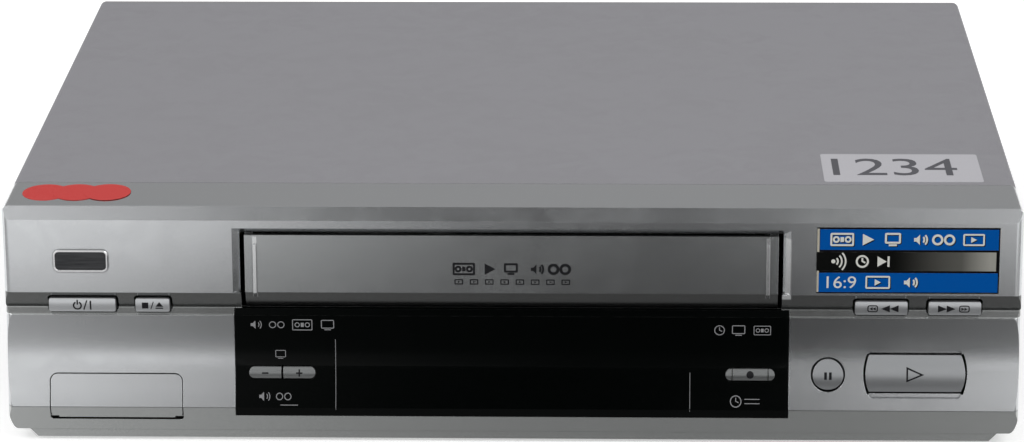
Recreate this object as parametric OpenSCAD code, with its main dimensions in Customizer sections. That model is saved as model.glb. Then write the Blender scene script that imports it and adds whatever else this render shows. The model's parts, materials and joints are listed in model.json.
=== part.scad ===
// Video cassette recorder for the home: a sheet steel cover and a moulded silver front panel on a
// steel chassis, with a front-loading cassette carriage, a helical scan deck, and its circuit boards.
// Millimetres. X runs to the right seen from the front, Y from the front to the rear, Z up.
// The frame's origin is on the table, under the middle of the whole recorder.

/* [Case] */
// Width over the front panel and the cover
case_w = 400; // [386:1:430]
// Height from the underside of the chassis to the top of the cover
body_h = 93; // [92:1:110]
// Distance from the panel's upper front edge to the rear edge of the cover
cover_back = 276; // [274:1:320]
// Radius of the long upper edges of the case
edge_r = 3; // [2:0.5:5]
// Sheet thickness of the cover and the chassis
sheet_t = 1.0; // [0.8:0.1:1.4]
// Seam between the front panel and the cover
seam_gap = 0.4; // [0.2:0.1:1]
// Height of the cover's lower edge above the underside of the chassis
cover_hem_z = 3; // [2:0.5:8]
// How far the rear panel sits inside the rear edge of the cover
rear_recess = 2.5; // [2:0.5:5]
// Thickness of the rear panel
rear_t = 1.5; // [1:0.1:3]
// Height of the feet
foot_h = 3; // [2:0.5:8]
// Diameter of the feet
foot_d = 22; // [14:1:30]
// Distance of the feet from the sides of the case
foot_inset_x = 36; // [25:1:60]
// Distance of the front feet behind the panel's upper front edge, and of the rear feet before the rear
foot_inset_y = 26; // [18:1:60]

/* [Front panel] */
// Wall of the moulded front panel
panel_t = 2.4; // [2:0.1:3]
// Depth of the flat strip on top of the front panel
strip_depth = 27; // [20:0.5:32]
// Radius of the upright front corners
corner_r = 3; // [1:0.5:5]
// Height of the bevel under the upper front edge
bevel_h = 5.3; // [3:0.1:8]
// How far the bevel's lower edge lies before the upper front edge
bevel_out = 2; // [1:0.1:3]
// Height of the fold where the upper face ends
fold_z = 58.4; // [57:0.1:60]
// How far the fold lies before the upper front edge
fold_out = 5; // [4:0.1:6]
// Height of the groove face below the fold
groove_h = 6.4; // [5:0.1:7]
// How far the groove's foot lies before the upper front edge
groove_out = 2.5; // [2:0.1:3]
// Height where the hollow lower face starts
scoop_z = 49; // [48:0.1:50]
// Height of the lower face's lower edge
low_edge_z = 12.3; // [10:0.1:14]
// How far the lower face's lower edge lies before the upper front edge
bulge = 12; // [10:0.5:14]
// Height of the panel's underside
chamfer_z = 2; // [2:0.1:4]
// How far the underside's front edge lies before the upper front edge
chamfer_out = 10; // [8:0.5:12]
// How much each end of the panel curves in from the lower face's edge to the underside
end_taper = 3.4; // [0:0.1:4]
// How far the skirt below the panel reaches under the chassis
skirt_drop = 1.7; // [0.5:0.1:2]
// How far the skirt's front lies before the upper front edge
skirt_out = 9; // [7:0.5:10]
// Distance of the skirt's ends from the panel's ends
skirt_inset = 7.5; // [5:0.5:20]

/* [Cassette] */
// Width of the cassette that the carriage takes
cassette_w = 188; // [186:0.5:190]
// Depth of the cassette
cassette_d = 104; // [100:0.5:108]
// Thickness of the cassette
cassette_h = 25; // [24:0.1:25.4]
// Distance between the hubs of the cassette's reels
reel_pitch = 92; // [88:0.5:96]
// Distance of the hubs from the cassette's outer edge
reel_inset = 46; // [44:0.5:50]

/* [Cassette door] */
// Width of the cassette door
door_w = 209.4; // [200:0.2:214]
// Height of the upper edge of the door
door_top_z = 81.6; // [80:0.1:82]
// Height of the lower edge of the door
door_low_z = 52.2; // [52:0.1:53]
// Thickness of the door's plate
door_t = 2.2; // [1.6:0.1:2.6]
// How far the door lies behind the panel's face
door_recess = 1; // [0.5:0.1:1.5]
// Gap at each end of the door
door_side_gap = 1.6; // [0.8:0.1:2]
// Gap above the door
door_top_gap = 0.8; // [0.3:0.1:1]
// Width of the slope round the door's opening
door_bevel = 3.1; // [1:0.1:4]
// Height of the hinge pins
door_pivot_z = 84; // [83.5:0.1:85]
// Distance of the hinge pins behind the panel's upper front edge
door_pivot_y = 2.2; // [2:0.1:3]
// Radius of the hinge pins
door_pin_r = 1.2; // [1:0.1:1.4]
// Width of the ridge near each end of the door
ridge_w = 1.3; // [0.8:0.1:2]
// Distance of the ridges from the ends of the door
ridge_x = 4; // [2.7:0.1:9.7]
// How far the ridges stand before the door
ridge_proud = 0.7; // [0.3:0.1:1]

/* [Window] */
// Width of the dark display window
window_w = 218.2; // [214:0.2:220]
// Height of the window's lower edge
window_low_z = 9; // [8:0.1:10]
// Thickness of the window
window_t = 2; // [1.6:0.1:2.2]

/* [Jack door] */
// Width of the little door over the front jacks
jack_door_w = 52.3; // [48:0.1:56]
// Height of the upper edge of the jack door
jack_door_top_z = 24.9; // [23:0.1:28]
// Height of the lower edge of the jack door
jack_door_low_z = 7.1; // [6.6:0.1:7.6]
// Thickness of the jack door
jack_door_t = 1.6; // [1.2:0.1:1.8]
// Distance of the jack door's middle from the left end of the case
jack_door_inset = 43.3; // [40:0.1:50]
// Distance between the front jacks
jack_pitch = 16; // [14:0.5:18]
// Outer radius of a phono jack's barrel
phono_r = 4.15; // [4.1:0.05:4.2]

/* [Keys] */
// Travel of every key
key_travel = 1; // [0.6:0.1:1.2]
// Gap round the keys in the window
key_gap = 0.35; // [0.3:0.05:0.5]
// Gap round the larger keys
cap_gap = 0.8; // [0.5:0.1:1]
// Height of the keys in the groove
bar_key_h = 5.5; // [5:0.1:6.5]
// Height of the middle of the keys in the groove
bar_key_z = 53.5; // [53:0.1:54]
// How far the groove keys' faces lie before the panel's upper front edge
bar_key_out = 6.4; // [5.5:0.1:7]
// Width of the power key
power_key_w = 26.3; // [20:0.1:30]
// Distance of the power key from the left end of the case
power_key_inset = 30.9; // [28:0.1:34]
// Width of the stop and eject key
stop_key_w = 13.4; // [10:0.1:16]
// Distance of the stop and eject key from the left end of the case
stop_key_inset = 58.7; // [56:0.1:62]
// Width of the rewind key and of the fast forward key
wind_key_w = 20.4; // [16:0.1:22]
// Distance of the rewind key from the right end of the case
rewind_key_inset = 54.9; // [52:0.1:58]
// Distance of the fast forward key from the right end of the case
forward_key_inset = 26.2; // [23:0.1:29]
// Radius of the round pause key
pause_key_r = 6; // [5:0.1:7]
// Distance of the pause key from the right end of the case
pause_key_inset = 75.2; // [74:0.1:78]
// Height of the middle of the pause key
pause_key_z = 26; // [24:0.1:30]
// Width of the play key at its upper and lower edges
play_key_w = 36.2; // [34:0.1:44]
// Height of the play key
play_key_h = 14.2; // [12:0.1:16]
// How much each side of the play key bows out
play_key_bow = 1.5; // [0.5:0.1:2.5]
// Distance of the play key from the right end of the case
play_key_inset = 40.9; // [38:0.1:44]
// Height of the middle of the play key
play_key_z = 26.4; // [24:0.1:30]
// How far the play and pause keys stand before the lower face
key_proud = 1; // [0.4:0.1:1.6]
// Height of the keys in the window
small_key_h = 4.9; // [4:0.1:6]
// Height of the middle of the keys in the window
small_key_z = 25.8; // [22:0.1:30]
// Width of each channel key
channel_key_w = 12.7; // [10:0.1:14]
// Gap between the two channel keys
channel_key_gap = 0.8; // [0.7:0.1:1.2]
// Distance of the channel keys' middle to the left of the case's middle
channel_key_x = 90.7; // [86:0.1:92]
// Width of the record key
record_key_w = 13.8; // [11:0.1:16]
// Distance of the record key to the right of the case's middle
record_key_x = 94.2; // [88:0.1:95]
// Width of the fixed silver piece at each end of the record key
record_end_w = 2.4; // [1.8:0.1:3]
// Distance of the front circuit boards behind the panel's upper front edge
front_board_y = 14; // [13.5:0.1:15]

/* [Boards] */
// Thickness of the circuit boards
board_t = 1.6; // [1.2:0.1:2]
// Height of the main and power boards above the underside of the chassis
board_z = 8; // [7:0.5:10]
// Distance of the side boards' inner edges from the middle
board_inner_x = 116; // [115:1:120]

/* [Deck] */
// Height of the underside of the deck plate
deck_z = 25; // [25:0.1:26]
// Thickness of the deck plate
deck_t = 1.5; // [1.2:0.1:1.6]
// Front edge of the deck plate behind the panel's upper front edge
deck_front = 36; // [34:1:38]
// Rear edge of the deck plate behind the panel's upper front edge
deck_back = 252; // [250:1:254]
// Half the width of the deck plate
deck_half_w = 112; // [110:0.5:113]
// Distance of the head drum behind the panel's upper front edge
drum_y = 218; // [217:0.5:219]
// Diameter of the head drum
drum_d = 62; // [58:0.1:62]
// Tilt of the head drum
drum_tilt = 6; // [4:0.1:6]
// Height of the loaded cassette's underside
loaded_z = 32.5; // [32.5:0.1:33.5]
// How far the carriage lifts the cassette
lift = 22; // [21:0.5:22]
// How far the carriage draws the cassette in
draw_in = 60; // [55:0.5:60]
// Front edge of the cassette holder, behind the panel's upper front edge
holder_front = 37; // [36:0.5:38]
// Length of the cassette holder
holder_len = 82; // [76:1:84]
// Sheet thickness of the carriage's parts
carriage_t = 1; // [0.8:0.1:1.2]
// Clearance at each side of the cassette in its holder
holder_play = 0.6; // [0.4:0.1:1]
// Gap between the holder, the slider and the side brackets
carriage_gap = 1; // [0.8:0.1:1.2]
// Radius of the carriage's guide pins
guide_pin_r = 1.5; // [1.2:0.1:1.8]
// Clearance of the guide pins in their slots
pin_play = 0.3; // [0.2:0.05:0.4]
// Radial clearance of the turning shafts
running_fit = 0.06; // [0.04:0.01:0.1]

/* [Gears] */
// Pitch diameter per tooth
gear_module = 1; // [0.9:0.05:1]
// Teeth of the drive gear
drive_teeth = 20; // [18:1:20]
// Teeth of the motor pinion
pinion_teeth = 12; // [12:1:14]
// Pressure angle of the teeth
pressure_angle = 25; // [20:1:27]
// Width of the gears and the rack
gear_w = 2.6; // [2:0.1:2.8]
// Clearance between meshing teeth, along the pitch line
backlash = 0.25; // [0.15:0.01:0.35]

/* [Hidden] */

$fn = 48;
scoop_fn = 360;  // the hollow face is part of a very large circle
far = 1000;  // longer than anything in the recorder
eps = 0.02;  // overlap of pieces of one solid that would only touch

// The frame: everything below is drawn from the panel's upper front edge and the chassis underside
socket_reach = 9;  // how far the aerial sockets stand out behind the cover
edge_y = (bulge - cover_back - socket_reach) / 2;
left_end = -case_w / 2;
right_end = case_w / 2;
inner_w = case_w - 2 * sheet_t;
rear_y = cover_back - rear_recess;  // outer face of the rear panel
chassis_half_w = inner_w / 2 - 0.5;
panel_floor_z = chamfer_z + 2;
groove_z = fold_z - groove_h;

// Lower face: an arc that starts upright at scoop_z and meets the low edge
scoop_h = scoop_z - low_edge_z;
scoop_in = bulge - fold_out;
scoop_r = (scoop_h * scoop_h + scoop_in * scoop_in) / (2 * scoop_in);

// How far behind the upper front edge the lower face lies at a height (negative: before it)
function face_y(z) = -fold_out - scoop_r + sqrt(scoop_r * scoop_r - (scoop_z - z) * (scoop_z - z));

// Cassette door
door_slot_w = door_w + 2 * door_side_gap;
door_arm_w = 3.2;
ear_gap = 0.6;
ear_t = 2;
slot_floor_z = door_low_z - 0.7;  // top of the shelf under the door

// Cassette carriage
holder_in = cassette_w / 2 + holder_play;  // inner face of the holder's side
holder_out = holder_in + carriage_t;
slider_in = holder_out + carriage_gap;
slider_out = slider_in + carriage_t;
bracket_in = slider_in + gear_w + 1.8;
bracket_out = bracket_in + carriage_t + 0.2;
raised_z = loaded_z + lift;  // underside of the cassette before it is drawn in
holder_back = holder_front + holder_len;
holder_roof_z = raised_z + cassette_h + 0.8;
holder_flange = 12;
holder_pin_z = raised_z + 12.5;
holder_pins_y = [holder_front + 14, holder_back - 14];
slider_pin_z = raised_z + 22.5;
slider_pins_y = [holder_front + 8, holder_back - 8];
slider_bar_z = holder_roof_z + carriage_t + 1.8;
slider_top_z = slider_bar_z + 3;
bracket_front = holder_front - 1;
bracket_back = holder_back + draw_in + 8;
bracket_top_z = slider_top_z + 1;
loaded_back = holder_back + draw_in;  // inner edge of the loaded cassette
reel_y = loaded_back - cassette_d + reel_inset;
reel_x = reel_pitch / 2;
deck_top = deck_z + deck_t;

// Gears on the right side of the carriage
drive_r = gear_module * drive_teeth / 2;
pinion_r = gear_module * pinion_teeth / 2;
addendum = 0.8 * gear_module;
dedendum = 1.05 * gear_module;
gear_y = (holder_front + draw_in + holder_back) / 2;
gear_z = deck_top;
rack_z = gear_z + drive_r;  // pitch line of the rack
pinion_y = gear_y + drive_r + pinion_r;
gear_x = slider_in + gear_w / 2;
gear_shaft_r = 2;
motor_shaft_r = 1;
motor_r = 10.5;
motor_hub_r = 3;

// Tape path
drum_mid_z = loaded_z + cassette_h / 2;
drum_half_h = 13;
drum_shaft_r = 3;
capstan_pos = [60, drum_y - 25];
pinch_pivot = [80, drum_y - 14];
capstan_r = 1.5;
capstan_boss_r = 4.6;
deck_pin_r = 1.6;
pinch_roller_r = 7;
pinch_roller_z = [deck_top + 9, deck_top + 28];
pinch_pin_r = 1.5;
pinch_arm_len = 15;
pinch_gap = 0.4;  // roller to capstan when pressed on
pinch_swing = 33;
pinch_reach = capstan_r + pinch_roller_r + pinch_gap;
pinch_span = norm(pinch_pivot - capstan_pos);
pinch_bearing = atan2(capstan_pos.y - pinch_pivot.y, capstan_pos.x - pinch_pivot.x);
pinch_corner = acos((pinch_arm_len * pinch_arm_len + pinch_span * pinch_span - pinch_reach * pinch_reach)
    / (2 * pinch_arm_len * pinch_span));
pinch_rest = pinch_bearing + 360 + pinch_corner + pinch_swing;
pinch_pos = pinch_pivot + pinch_arm_len * [cos(pinch_rest), sin(pinch_rest)];
guide_start = [30, loaded_back - 8];
guide_end = [43, drum_y - 10];
guide_r = 3;
guide_slot_r = 2;
flywheel_r = 23;
flywheel_z = deck_z - 10;
flywheel_h = 8;
clutch_r = 14;
clutch_pos = [0, reel_y + 4];
belt_t = 1;
belt_w = 4;
belt_gap = 0.3;

// Keys
key_stem_y = 8.3;
switch_gap = key_travel + 0.3;
switch_y = key_stem_y + switch_gap;
power_key_x = left_end + power_key_inset;
stop_key_x = left_end + stop_key_inset;
rewind_key_x = right_end - rewind_key_inset;
forward_key_x = right_end - forward_key_inset;
pause_key_x = right_end - pause_key_inset;
play_key_x = right_end - play_key_inset;
channel_offset = (channel_key_w + channel_key_gap) / 2;
jack_door_x = left_end + jack_door_inset;
jack_door_h = jack_door_top_z - jack_door_low_z;
jack_door_z = (jack_door_top_z + jack_door_low_z) / 2;
jack_door_gap = 0.4;
jack_door_corner = 3;
phono_bore_r = 1.7;
jack_pocket_y = 8;
pocket_t = 1.6;
jack_barrel_r = 1.2;
jack_pin_r = 0.6;
jack_pin_len = 1.2;
// The jack door's hinge lies just inside the chamfer, at the door's lower edge
jack_hinge_z = jack_door_low_z + jack_barrel_r;
chamfer_slope = (bulge - chamfer_out) / (low_edge_z - chamfer_z);
jack_hinge_y = -bulge + chamfer_slope * (low_edge_z - jack_hinge_z) + jack_barrel_r;
window_gap = 0.3;
play_scoop_h = 4.6;
play_scoop_depth = 1.2;
play_scoop_corner = 1.2;
play_crown_r = 18;  // upright rounding of the keys' faces
pause_crown_r = 14;
bar_crown_r = 8;
small_crown_r = 4;
small_key_proud = 0.5;
lip_gap = 0.3;  // a key's lip to the wall before it
lip_t = 1.2;
record_end_gap = 0.35;
side_board_inset = 12;  // outer ends of the key boards from the case's ends
side_board_x = window_w / 2 + 6;  // inner ends of the key boards
board_post_x = side_board_x + 4;
board_post_z = bar_key_z + 7.5;
key_places = [
    [power_key_x, bar_key_z], [stop_key_x, bar_key_z], [rewind_key_x, bar_key_z], [forward_key_x, bar_key_z],
    [pause_key_x, pause_key_z], [play_key_x, play_key_z],
    [-channel_key_x - channel_offset, small_key_z], [-channel_key_x + channel_offset, small_key_z],
    [record_key_x, small_key_z]
];

// Screws of the cover
screw_r = 1.5;
screw_head_r = 3.2;
screw_head_h = 1.6;
side_screws_y = [70, cover_back - 46];
side_screw_z = 9;
rear_screw_z = body_h - 5;
rear_screws_x = [left_end + 50, 0, right_end - 50];

// Rear sockets
board_top = board_z + board_t;
scart_x = right_end - 40;
scart_z = [24, 50];
scart_face = [47, 15];
scart_half_h = 9;
tuner_x = right_end - 96;
aerial_seat_r = 7;
aerial_z = [24, 46];
audio_out_x = right_end - 134;
audio_out_z = [24, 42];
mains_x = left_end + 36;
mains_z = 22;

// ---- Helpers ----

// Puts a piece drawn from the panel's edge and the chassis underside into the recorder's frame
module in_case() translate([0, edge_y, foot_h]) children();

// A section in Y and Z, drawn along X about a middle
module along_x(width, x = 0)
    translate([x - width / 2, 0, 0]) rotate([90, 0, 90]) linear_extrude(width) children();

// An outline in X and Z, drawn along Y
module along_y(from, to) translate([0, to, 0]) rotate([90, 0, 0]) linear_extrude(to - from) children();

module rod_x(r, from, to) translate([from, 0, 0]) rotate([0, 90, 0]) cylinder(r = r, h = to - from);

module rod_y(r, from, to) translate([0, from, 0]) rotate([-90, 0, 0]) cylinder(r = r, h = to - from);

module rod_z(r, from, to) translate([0, 0, from]) cylinder(r = r, h = to - from);

// A block between two corners
module block(a, b) translate(a) cube(b - a);

module rounded_rect(w, h, r) {
    square([w - 2 * r, h], center = true);
    square([w, h - 2 * r], center = true);
    for (sx = [-1, 1], sy = [-1, 1])
        translate([sx * (w / 2 - r), sy * (h / 2 - r)]) circle(r);
}

// An upright rectangle with rounded upper corners
module arched_rect(w, low, high, r) {
    translate([-w / 2, low]) square([w, high - r - low]);
    translate([-w / 2 + r, low]) square([w - 2 * r, high - low]);
    for (s = [-1, 1]) translate([s * (w / 2 - r), high - r]) circle(r);
}

// A slot with round ends between two points, its straight sides just inside the ends' width
module slot(a, b, r) {
    d = b - a;
    translate(a) rotate(atan2(d.y, d.x)) translate([0, -r + eps / 2]) square([norm(d), 2 * r - eps]);
    for (p = [a, b]) translate(p) circle(r);
}

// The point beyond b, seen from a
function beyond(a, b, share) = b + share * (b - a);

// ---- Front panel's shape ----

// Outer shape seen from the side: flat strip, bevel, upper face, groove, hollow lower face, chamfer
module panel_section() {
    foot = [-groove_out, groove_z];
    ridge = foot - [2.1, 2.8];
    scoop_start = [-fold_out, scoop_z];
    low_edge = [-bulge, low_edge_z];
    underside = [-chamfer_out, chamfer_z];
    past_edge = beyond(underside, low_edge, 0.2);
    difference() {
        polygon([
            [strip_depth, body_h], [0, body_h], [-bevel_out, body_h - bevel_h], [-fold_out, fold_z],
            foot, foot - [0.9, 0.2], foot - [1.1, 0.8],
            ridge, beyond(ridge, scoop_start, 1), [past_edge.x, scoop_z - 3], past_edge,
            underside, [strip_depth, chamfer_z]
        ]);
        translate([-fold_out - scoop_r, scoop_z]) circle(r = scoop_r, $fn = scoop_fn);
    }
}

// The layer of the panel's front between two depths behind its face
module face_layer(from, to) {
    difference() {
        translate([from, 0]) panel_section();
        translate([to, 0]) panel_section();
        translate([to, body_h - bevel_h]) square([far, far]);
        translate([strip_depth, 0]) square([far, far]);
    }
}

// Front view of the panel: rounded upper corners, ends that curve in under the low edge
module panel_outline() {
    drop = low_edge_z - chamfer_z;
    turns = [for (a = [0:7.5:90]) [case_w / 2 - end_taper * (1 - cos(a)), low_edge_z - drop * sin(a)]];
    arched_rect(case_w, low_edge_z, body_h, edge_r);
    for (s = [-1, 1]) scale_x(s)
        polygon(concat([[-eps, chamfer_z], [-eps, low_edge_z + eps], [case_w / 2, low_edge_z + eps]], turns));
}

// A slab whose front plane runs through two points of the section, with rounded front corners; its
// sides lie beyond the case, whose own end faces stay whole
module leaning_slab(low, high, from_z, to_z) {
    lean = atan2(high.x - low.x, high.y - low.y);
    depth = 3 * strip_depth;
    intersection() {
        translate([0, low.x, low.y]) rotate([-lean, 0, 0]) translate([0, 0, -2 * body_h])
            linear_extrude(4 * body_h) {
                translate([left_end + corner_r, 0]) square([case_w - 2 * corner_r, depth]);
                translate([-case_w, corner_r]) square([2 * case_w, depth - corner_r]);
                for (s = [-1, 1]) translate([s * (case_w / 2 - corner_r + eps), corner_r]) circle(corner_r);
            }
        block([-case_w, -2 * bulge, from_z], [case_w, depth / 2, to_z]);
    }
}

module panel_solid() {
    intersection() {
        along_x(case_w) panel_section();
        along_y(-2 * bulge, strip_depth) panel_outline();
        union() {
            leaning_slab([-fold_out, fold_z], [-bevel_out, body_h - bevel_h], groove_z, 2 * body_h);
            leaning_slab([-bulge, low_edge_z], [-fold_out, scoop_z], -body_h, groove_z);
        }
    }
}

module panel_cavity() {
    along_x(case_w - 2 * panel_t) intersection() {
        translate([panel_t, 0]) panel_section();
        translate([-2 * bulge, panel_floor_z]) square([far, body_h - panel_t - panel_floor_z]);
    }
}

// The door's opening with its sloping rim, drawn on the leaning upper face
module door_opening() {
    lean = atan2(fold_out - bevel_out, body_h - bevel_h - fold_z);
    half = door_slot_w / 2;
    rim_depth = 2.6;
    top_rim = 2.3;
    opening_top = door_top_z + door_top_gap;
    rim_top = opening_top - fold_z;
    spread = (rim_depth + 1) / rim_depth;
    translate([0, -fold_out, fold_z]) rotate([-lean, 0, 0]) intersection() {
        linear_extrude(body_h) polygon([
            [-half - door_bevel * spread, -1], [half + door_bevel * spread, -1],
            [half, rim_depth], [-half, rim_depth]
        ]);
        along_x(2 * case_w) polygon([
            [-1, 0], [-1, rim_top + top_rim * spread], [rim_depth, rim_top], [rim_depth, 0]
        ]);
    }
    block([-half, -2 * bulge, slot_floor_z], [half, strip_depth / 2, opening_top]);
}

// ---- Key shapes, seen from the front ----

module bar_key_shape(w, grow = 0) rounded_rect(w + 2 * grow, bar_key_h + 2 * grow, 0.8 + grow);

module play_key_shape(grow = 0) {
    w = play_key_w + 2 * grow;
    h = play_key_h + 2 * grow;
    bow_r = (h * h / 4 + play_key_bow * play_key_bow) / (2 * play_key_bow);
    half_turn = asin(h / 2 / bow_r);
    side = [for (i = [-8:8]) let (a = half_turn * i / 8)
        [w / 2 + play_key_bow, 0] + bow_r * [cos(a) - 1, sin(a)]];
    polygon(concat(side, -side));
}

// Half of the channel capsule: square on the inner side, round on the outer
module channel_key_shape(side, grow = 0) {
    r = small_key_h / 2 + grow;
    w = channel_key_w + 2 * grow;
    translate([side * (w / 2 - r), 0]) circle(r);
    translate([side * -r / 2, 0]) square([w - r, 2 * r], center = true);
}

module capsule(w, h) rounded_rect(w, h, h / 2 - eps);

// ---- Front ----

module front_panel() color([0.72, 0.73, 0.74]) in_case() {
    difference() {
        union() {
            difference() {
                panel_solid();
                panel_cavity();
                door_opening();
                window_hole();
                jack_door_hole();
                key_holes();
                play_scoop();
            }
            jack_pocket();
        }
        jack_door_bores();
    }
    panel_shelf();
    panel_skirt();
    door_ears();
    board_posts();
}

module window_hole()
    block([-window_w / 2 - window_gap, -2 * bulge, window_low_z - window_gap],
        [window_w / 2 + window_gap, panel_t, slot_floor_z + eps]);

// Its lower corners are tighter than the door's, so that the door's corners swing out past them
module jack_door_hole() {
    w = jack_door_w + 2 * jack_door_gap;
    h = jack_door_h + 2 * jack_door_gap;
    translate([jack_door_x, 0, jack_door_z]) along_y(-2 * bulge, 0) {
        rounded_rect(w, h, jack_door_corner + jack_door_gap);
        translate([0, -h / 4]) rounded_rect(w, h / 2, 3 * jack_door_gap);
    }
}

module key_holes() {
    for (k = [[power_key_x, power_key_w], [stop_key_x, stop_key_w],
            [rewind_key_x, wind_key_w], [forward_key_x, wind_key_w]])
        translate([k[0], 0, bar_key_z]) along_y(-2 * bulge, panel_t) bar_key_shape(k[1], cap_gap);
    translate([pause_key_x, 0, pause_key_z]) along_y(-2 * bulge, 0) circle(pause_key_r + cap_gap);
    translate([play_key_x, 0, play_key_z]) along_y(-2 * bulge, 0) play_key_shape(cap_gap);
}

// Shallow dish above and below the play key
module play_scoop() intersection() {
    translate([play_key_x, 0, play_key_z]) along_y(-2 * bulge, 0)
        rounded_rect(play_key_w, play_key_h + play_scoop_h, play_scoop_corner);
    along_x(case_w) face_layer(-1, play_scoop_depth);
}

// Posts that carry the key boards
module board_posts()
    for (s = [-1, 1], x = [board_post_x, case_w / 2 - side_board_inset - 4])
        translate([s * x, 0, board_post_z]) rod_y(2.5, -fold_out + panel_t / 2, front_board_y);

// Shelf between the cassette door and the window
module panel_shelf() {
    shelf_half = window_w / 2 + 4;
    shelf_t = 2.2;
    front = -groove_out + 1.1;
    block([-shelf_half, front, slot_floor_z - shelf_t], [shelf_half, front_board_y, slot_floor_z]);
    for (s = [-1, 1]) scale_x(s)
        block([window_w / 2 + window_gap + 0.1, -groove_out - 1, slot_floor_z - shelf_t],
            [shelf_half, front + 1, slot_floor_z]);
}

module scale_x(s) if (s < 0) mirror([1, 0, 0]) children(); else children();

// Skirt that closes the gap above the table, with slanted ends
module panel_skirt() {
    half = case_w / 2 - skirt_inset;
    slant = 3.5;
    skirt_t = 2.2;
    along_y(-skirt_out, -skirt_out + skirt_t) polygon([
        [-half, chamfer_z + 1], [half, chamfer_z + 1], [half, chamfer_z],
        [half - slant, -skirt_drop], [-half + slant, -skirt_drop], [-half, chamfer_z]
    ]);
}

// Ears with the bores for the door's pins, joined to the back of the wall
module door_ears() {
    ear_wall = 2.3;
    ear_x = door_slot_w / 2 + ear_gap;
    for (s = [-1, 1]) scale_x(s) difference() {
        intersection() {
            block([ear_x, -bulge, door_pivot_z - door_pin_r - ear_wall],
                [ear_x + ear_t, door_pivot_y + door_pin_r + ear_wall, body_h - panel_t + eps]);
            along_x(case_w) translate([panel_t - 0.2, 0]) panel_section();
        }
        translate([0, door_pivot_y, door_pivot_z])
            rod_x(door_pin_r + running_fit, 0, door_slot_w);
    }
}

// Closed recess behind the jack door, with a hole for each jack
module jack_pocket() {
    half = jack_door_w / 2 + jack_door_gap;
    floor_z = jack_door_low_z - jack_door_gap;
    roof_z = jack_door_top_z + jack_door_gap;
    difference() {
        intersection() {
            translate([jack_door_x, 0, 0]) block([-half - pocket_t, -bulge, floor_z - pocket_t],
                [half + pocket_t, jack_pocket_y + pocket_t, roof_z + pocket_t]);
            along_x(case_w) translate([panel_t / 2, 0]) panel_section();
        }
        translate([jack_door_x, 0, 0])
            block([-half, -2 * bulge, floor_z], [half, jack_pocket_y, roof_z]);
        for (i = [-1, 0, 1]) translate([jack_door_x + i * jack_pitch, 0, jack_door_z])
            rod_y(phono_r + 0.2, 0, far);
    }
}

// Blind bores for the jack door's pins, in both ends of its hole
module jack_door_bores() {
    reach = jack_door_w / 2 + jack_door_gap + jack_pin_len;
    translate([jack_door_x, jack_hinge_y, jack_hinge_z]) rod_x(jack_pin_r + running_fit, -reach, reach);
}

module jack_door() color([0.70, 0.71, 0.72]) in_case() {
    half = jack_door_w / 2;
    pin_end = half + jack_door_gap + jack_pin_len - 0.2;
    intersection() {
        along_x(case_w) face_layer(0, jack_door_t);
        translate([jack_door_x, 0, 0]) along_y(-2 * bulge, 0) difference() {
            translate([0, jack_door_z]) rounded_rect(jack_door_w, jack_door_h, jack_door_corner);
            translate([-far / 2, 0]) square([far, jack_hinge_z]);
        }
    }
    translate([jack_door_x, jack_hinge_y, jack_hinge_z]) {
        rod_x(jack_barrel_r, -half + jack_door_corner, half - jack_door_corner);
        rod_x(jack_pin_r, -pin_end, pin_end);
    }
}

module phono_jack(x, tint) color(tint) in_case() translate([x, 0, jack_door_z]) {
    back = jack_pocket_y + pocket_t;
    housing = [5.5, 10, 6];
    front = -1;
    bore_depth = 6;
    ring_depth = 1.2;  // groove between the sleeve and the coloured ring
    difference() {
        union() {
            rod_y(phono_r, front, back + 1);
            block([-housing.x, back, -housing.z], [housing.x, back + housing.y, housing.z]);
        }
        rod_y(phono_bore_r, front - 1, back + bore_depth);
        difference() {
            rod_y(phono_r - 0.5, front - 1, front + ring_depth);
            rod_y(phono_r - 1.5, front - 1, front + ring_depth);
        }
    }
}

module video_jack() phono_jack(jack_door_x - jack_pitch, [0.95, 0.8, 0.1]);
module audio_jack_left() phono_jack(jack_door_x, [0.92, 0.92, 0.9]);
module audio_jack_right() phono_jack(jack_door_x + jack_pitch, [0.8, 0.1, 0.1]);

// Spring-returned flap over the cassette slot: a folded plate on two arms with hinge pins
module cassette_door() color([0.62, 0.63, 0.64]) in_case() {
    half = door_w / 2;
    face_slope = (fold_out - bevel_out) / (body_h - bevel_h - fold_z);
    top_edge = [-fold_out + face_slope * (door_top_z - fold_z), door_top_z];
    front = [top_edge, [-fold_out, fold_z], [-groove_out - 0.2, door_low_z]];
    back = [for (i = [2:-1:0]) front[i] + [door_t, 0]];
    hub_r = door_pin_r + 0.45;
    arm_h = 4.6;
    arm_x = half - door_arm_w;
    along_x(door_w) translate([door_recess, 0]) polygon(concat(front, back));
    for (s = [-1, 1]) scale_x(s) {
        translate([half - ridge_x - ridge_w / 2, 0, 0]) door_ridge(front);
        block([arm_x, -1, door_top_z - arm_h], [half, door_pivot_y + hub_r, door_top_z]);
        block([arm_x, door_pivot_y - hub_r, door_top_z - eps], [half, door_pivot_y + hub_r, door_pivot_z]);
        translate([0, door_pivot_y, door_pivot_z]) {
            rod_x(hub_r, arm_x, half);
            rod_x(door_pin_r, half - eps, door_slot_w / 2 + ear_gap + 1.6);
        }
    }
}

// Raised ridge that runs down the door's face and round its fold
module door_ridge(front) {
    ridge_top = door_top_z - 3;
    top = front[1] + (ridge_top - fold_z) / (door_top_z - fold_z) * (front[0] - front[1]);
    low = front[1] + 0.6 * (front[2] - front[1]);
    sunk = [0.5, 0];
    translate([0, door_recess, 0]) rotate([90, 0, 90]) linear_extrude(ridge_w) polygon([
        top + sunk, top - [ridge_proud, ridge_proud], front[1] - [ridge_proud, 0], low + sunk, front[1] + sunk
    ]);
}

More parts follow.
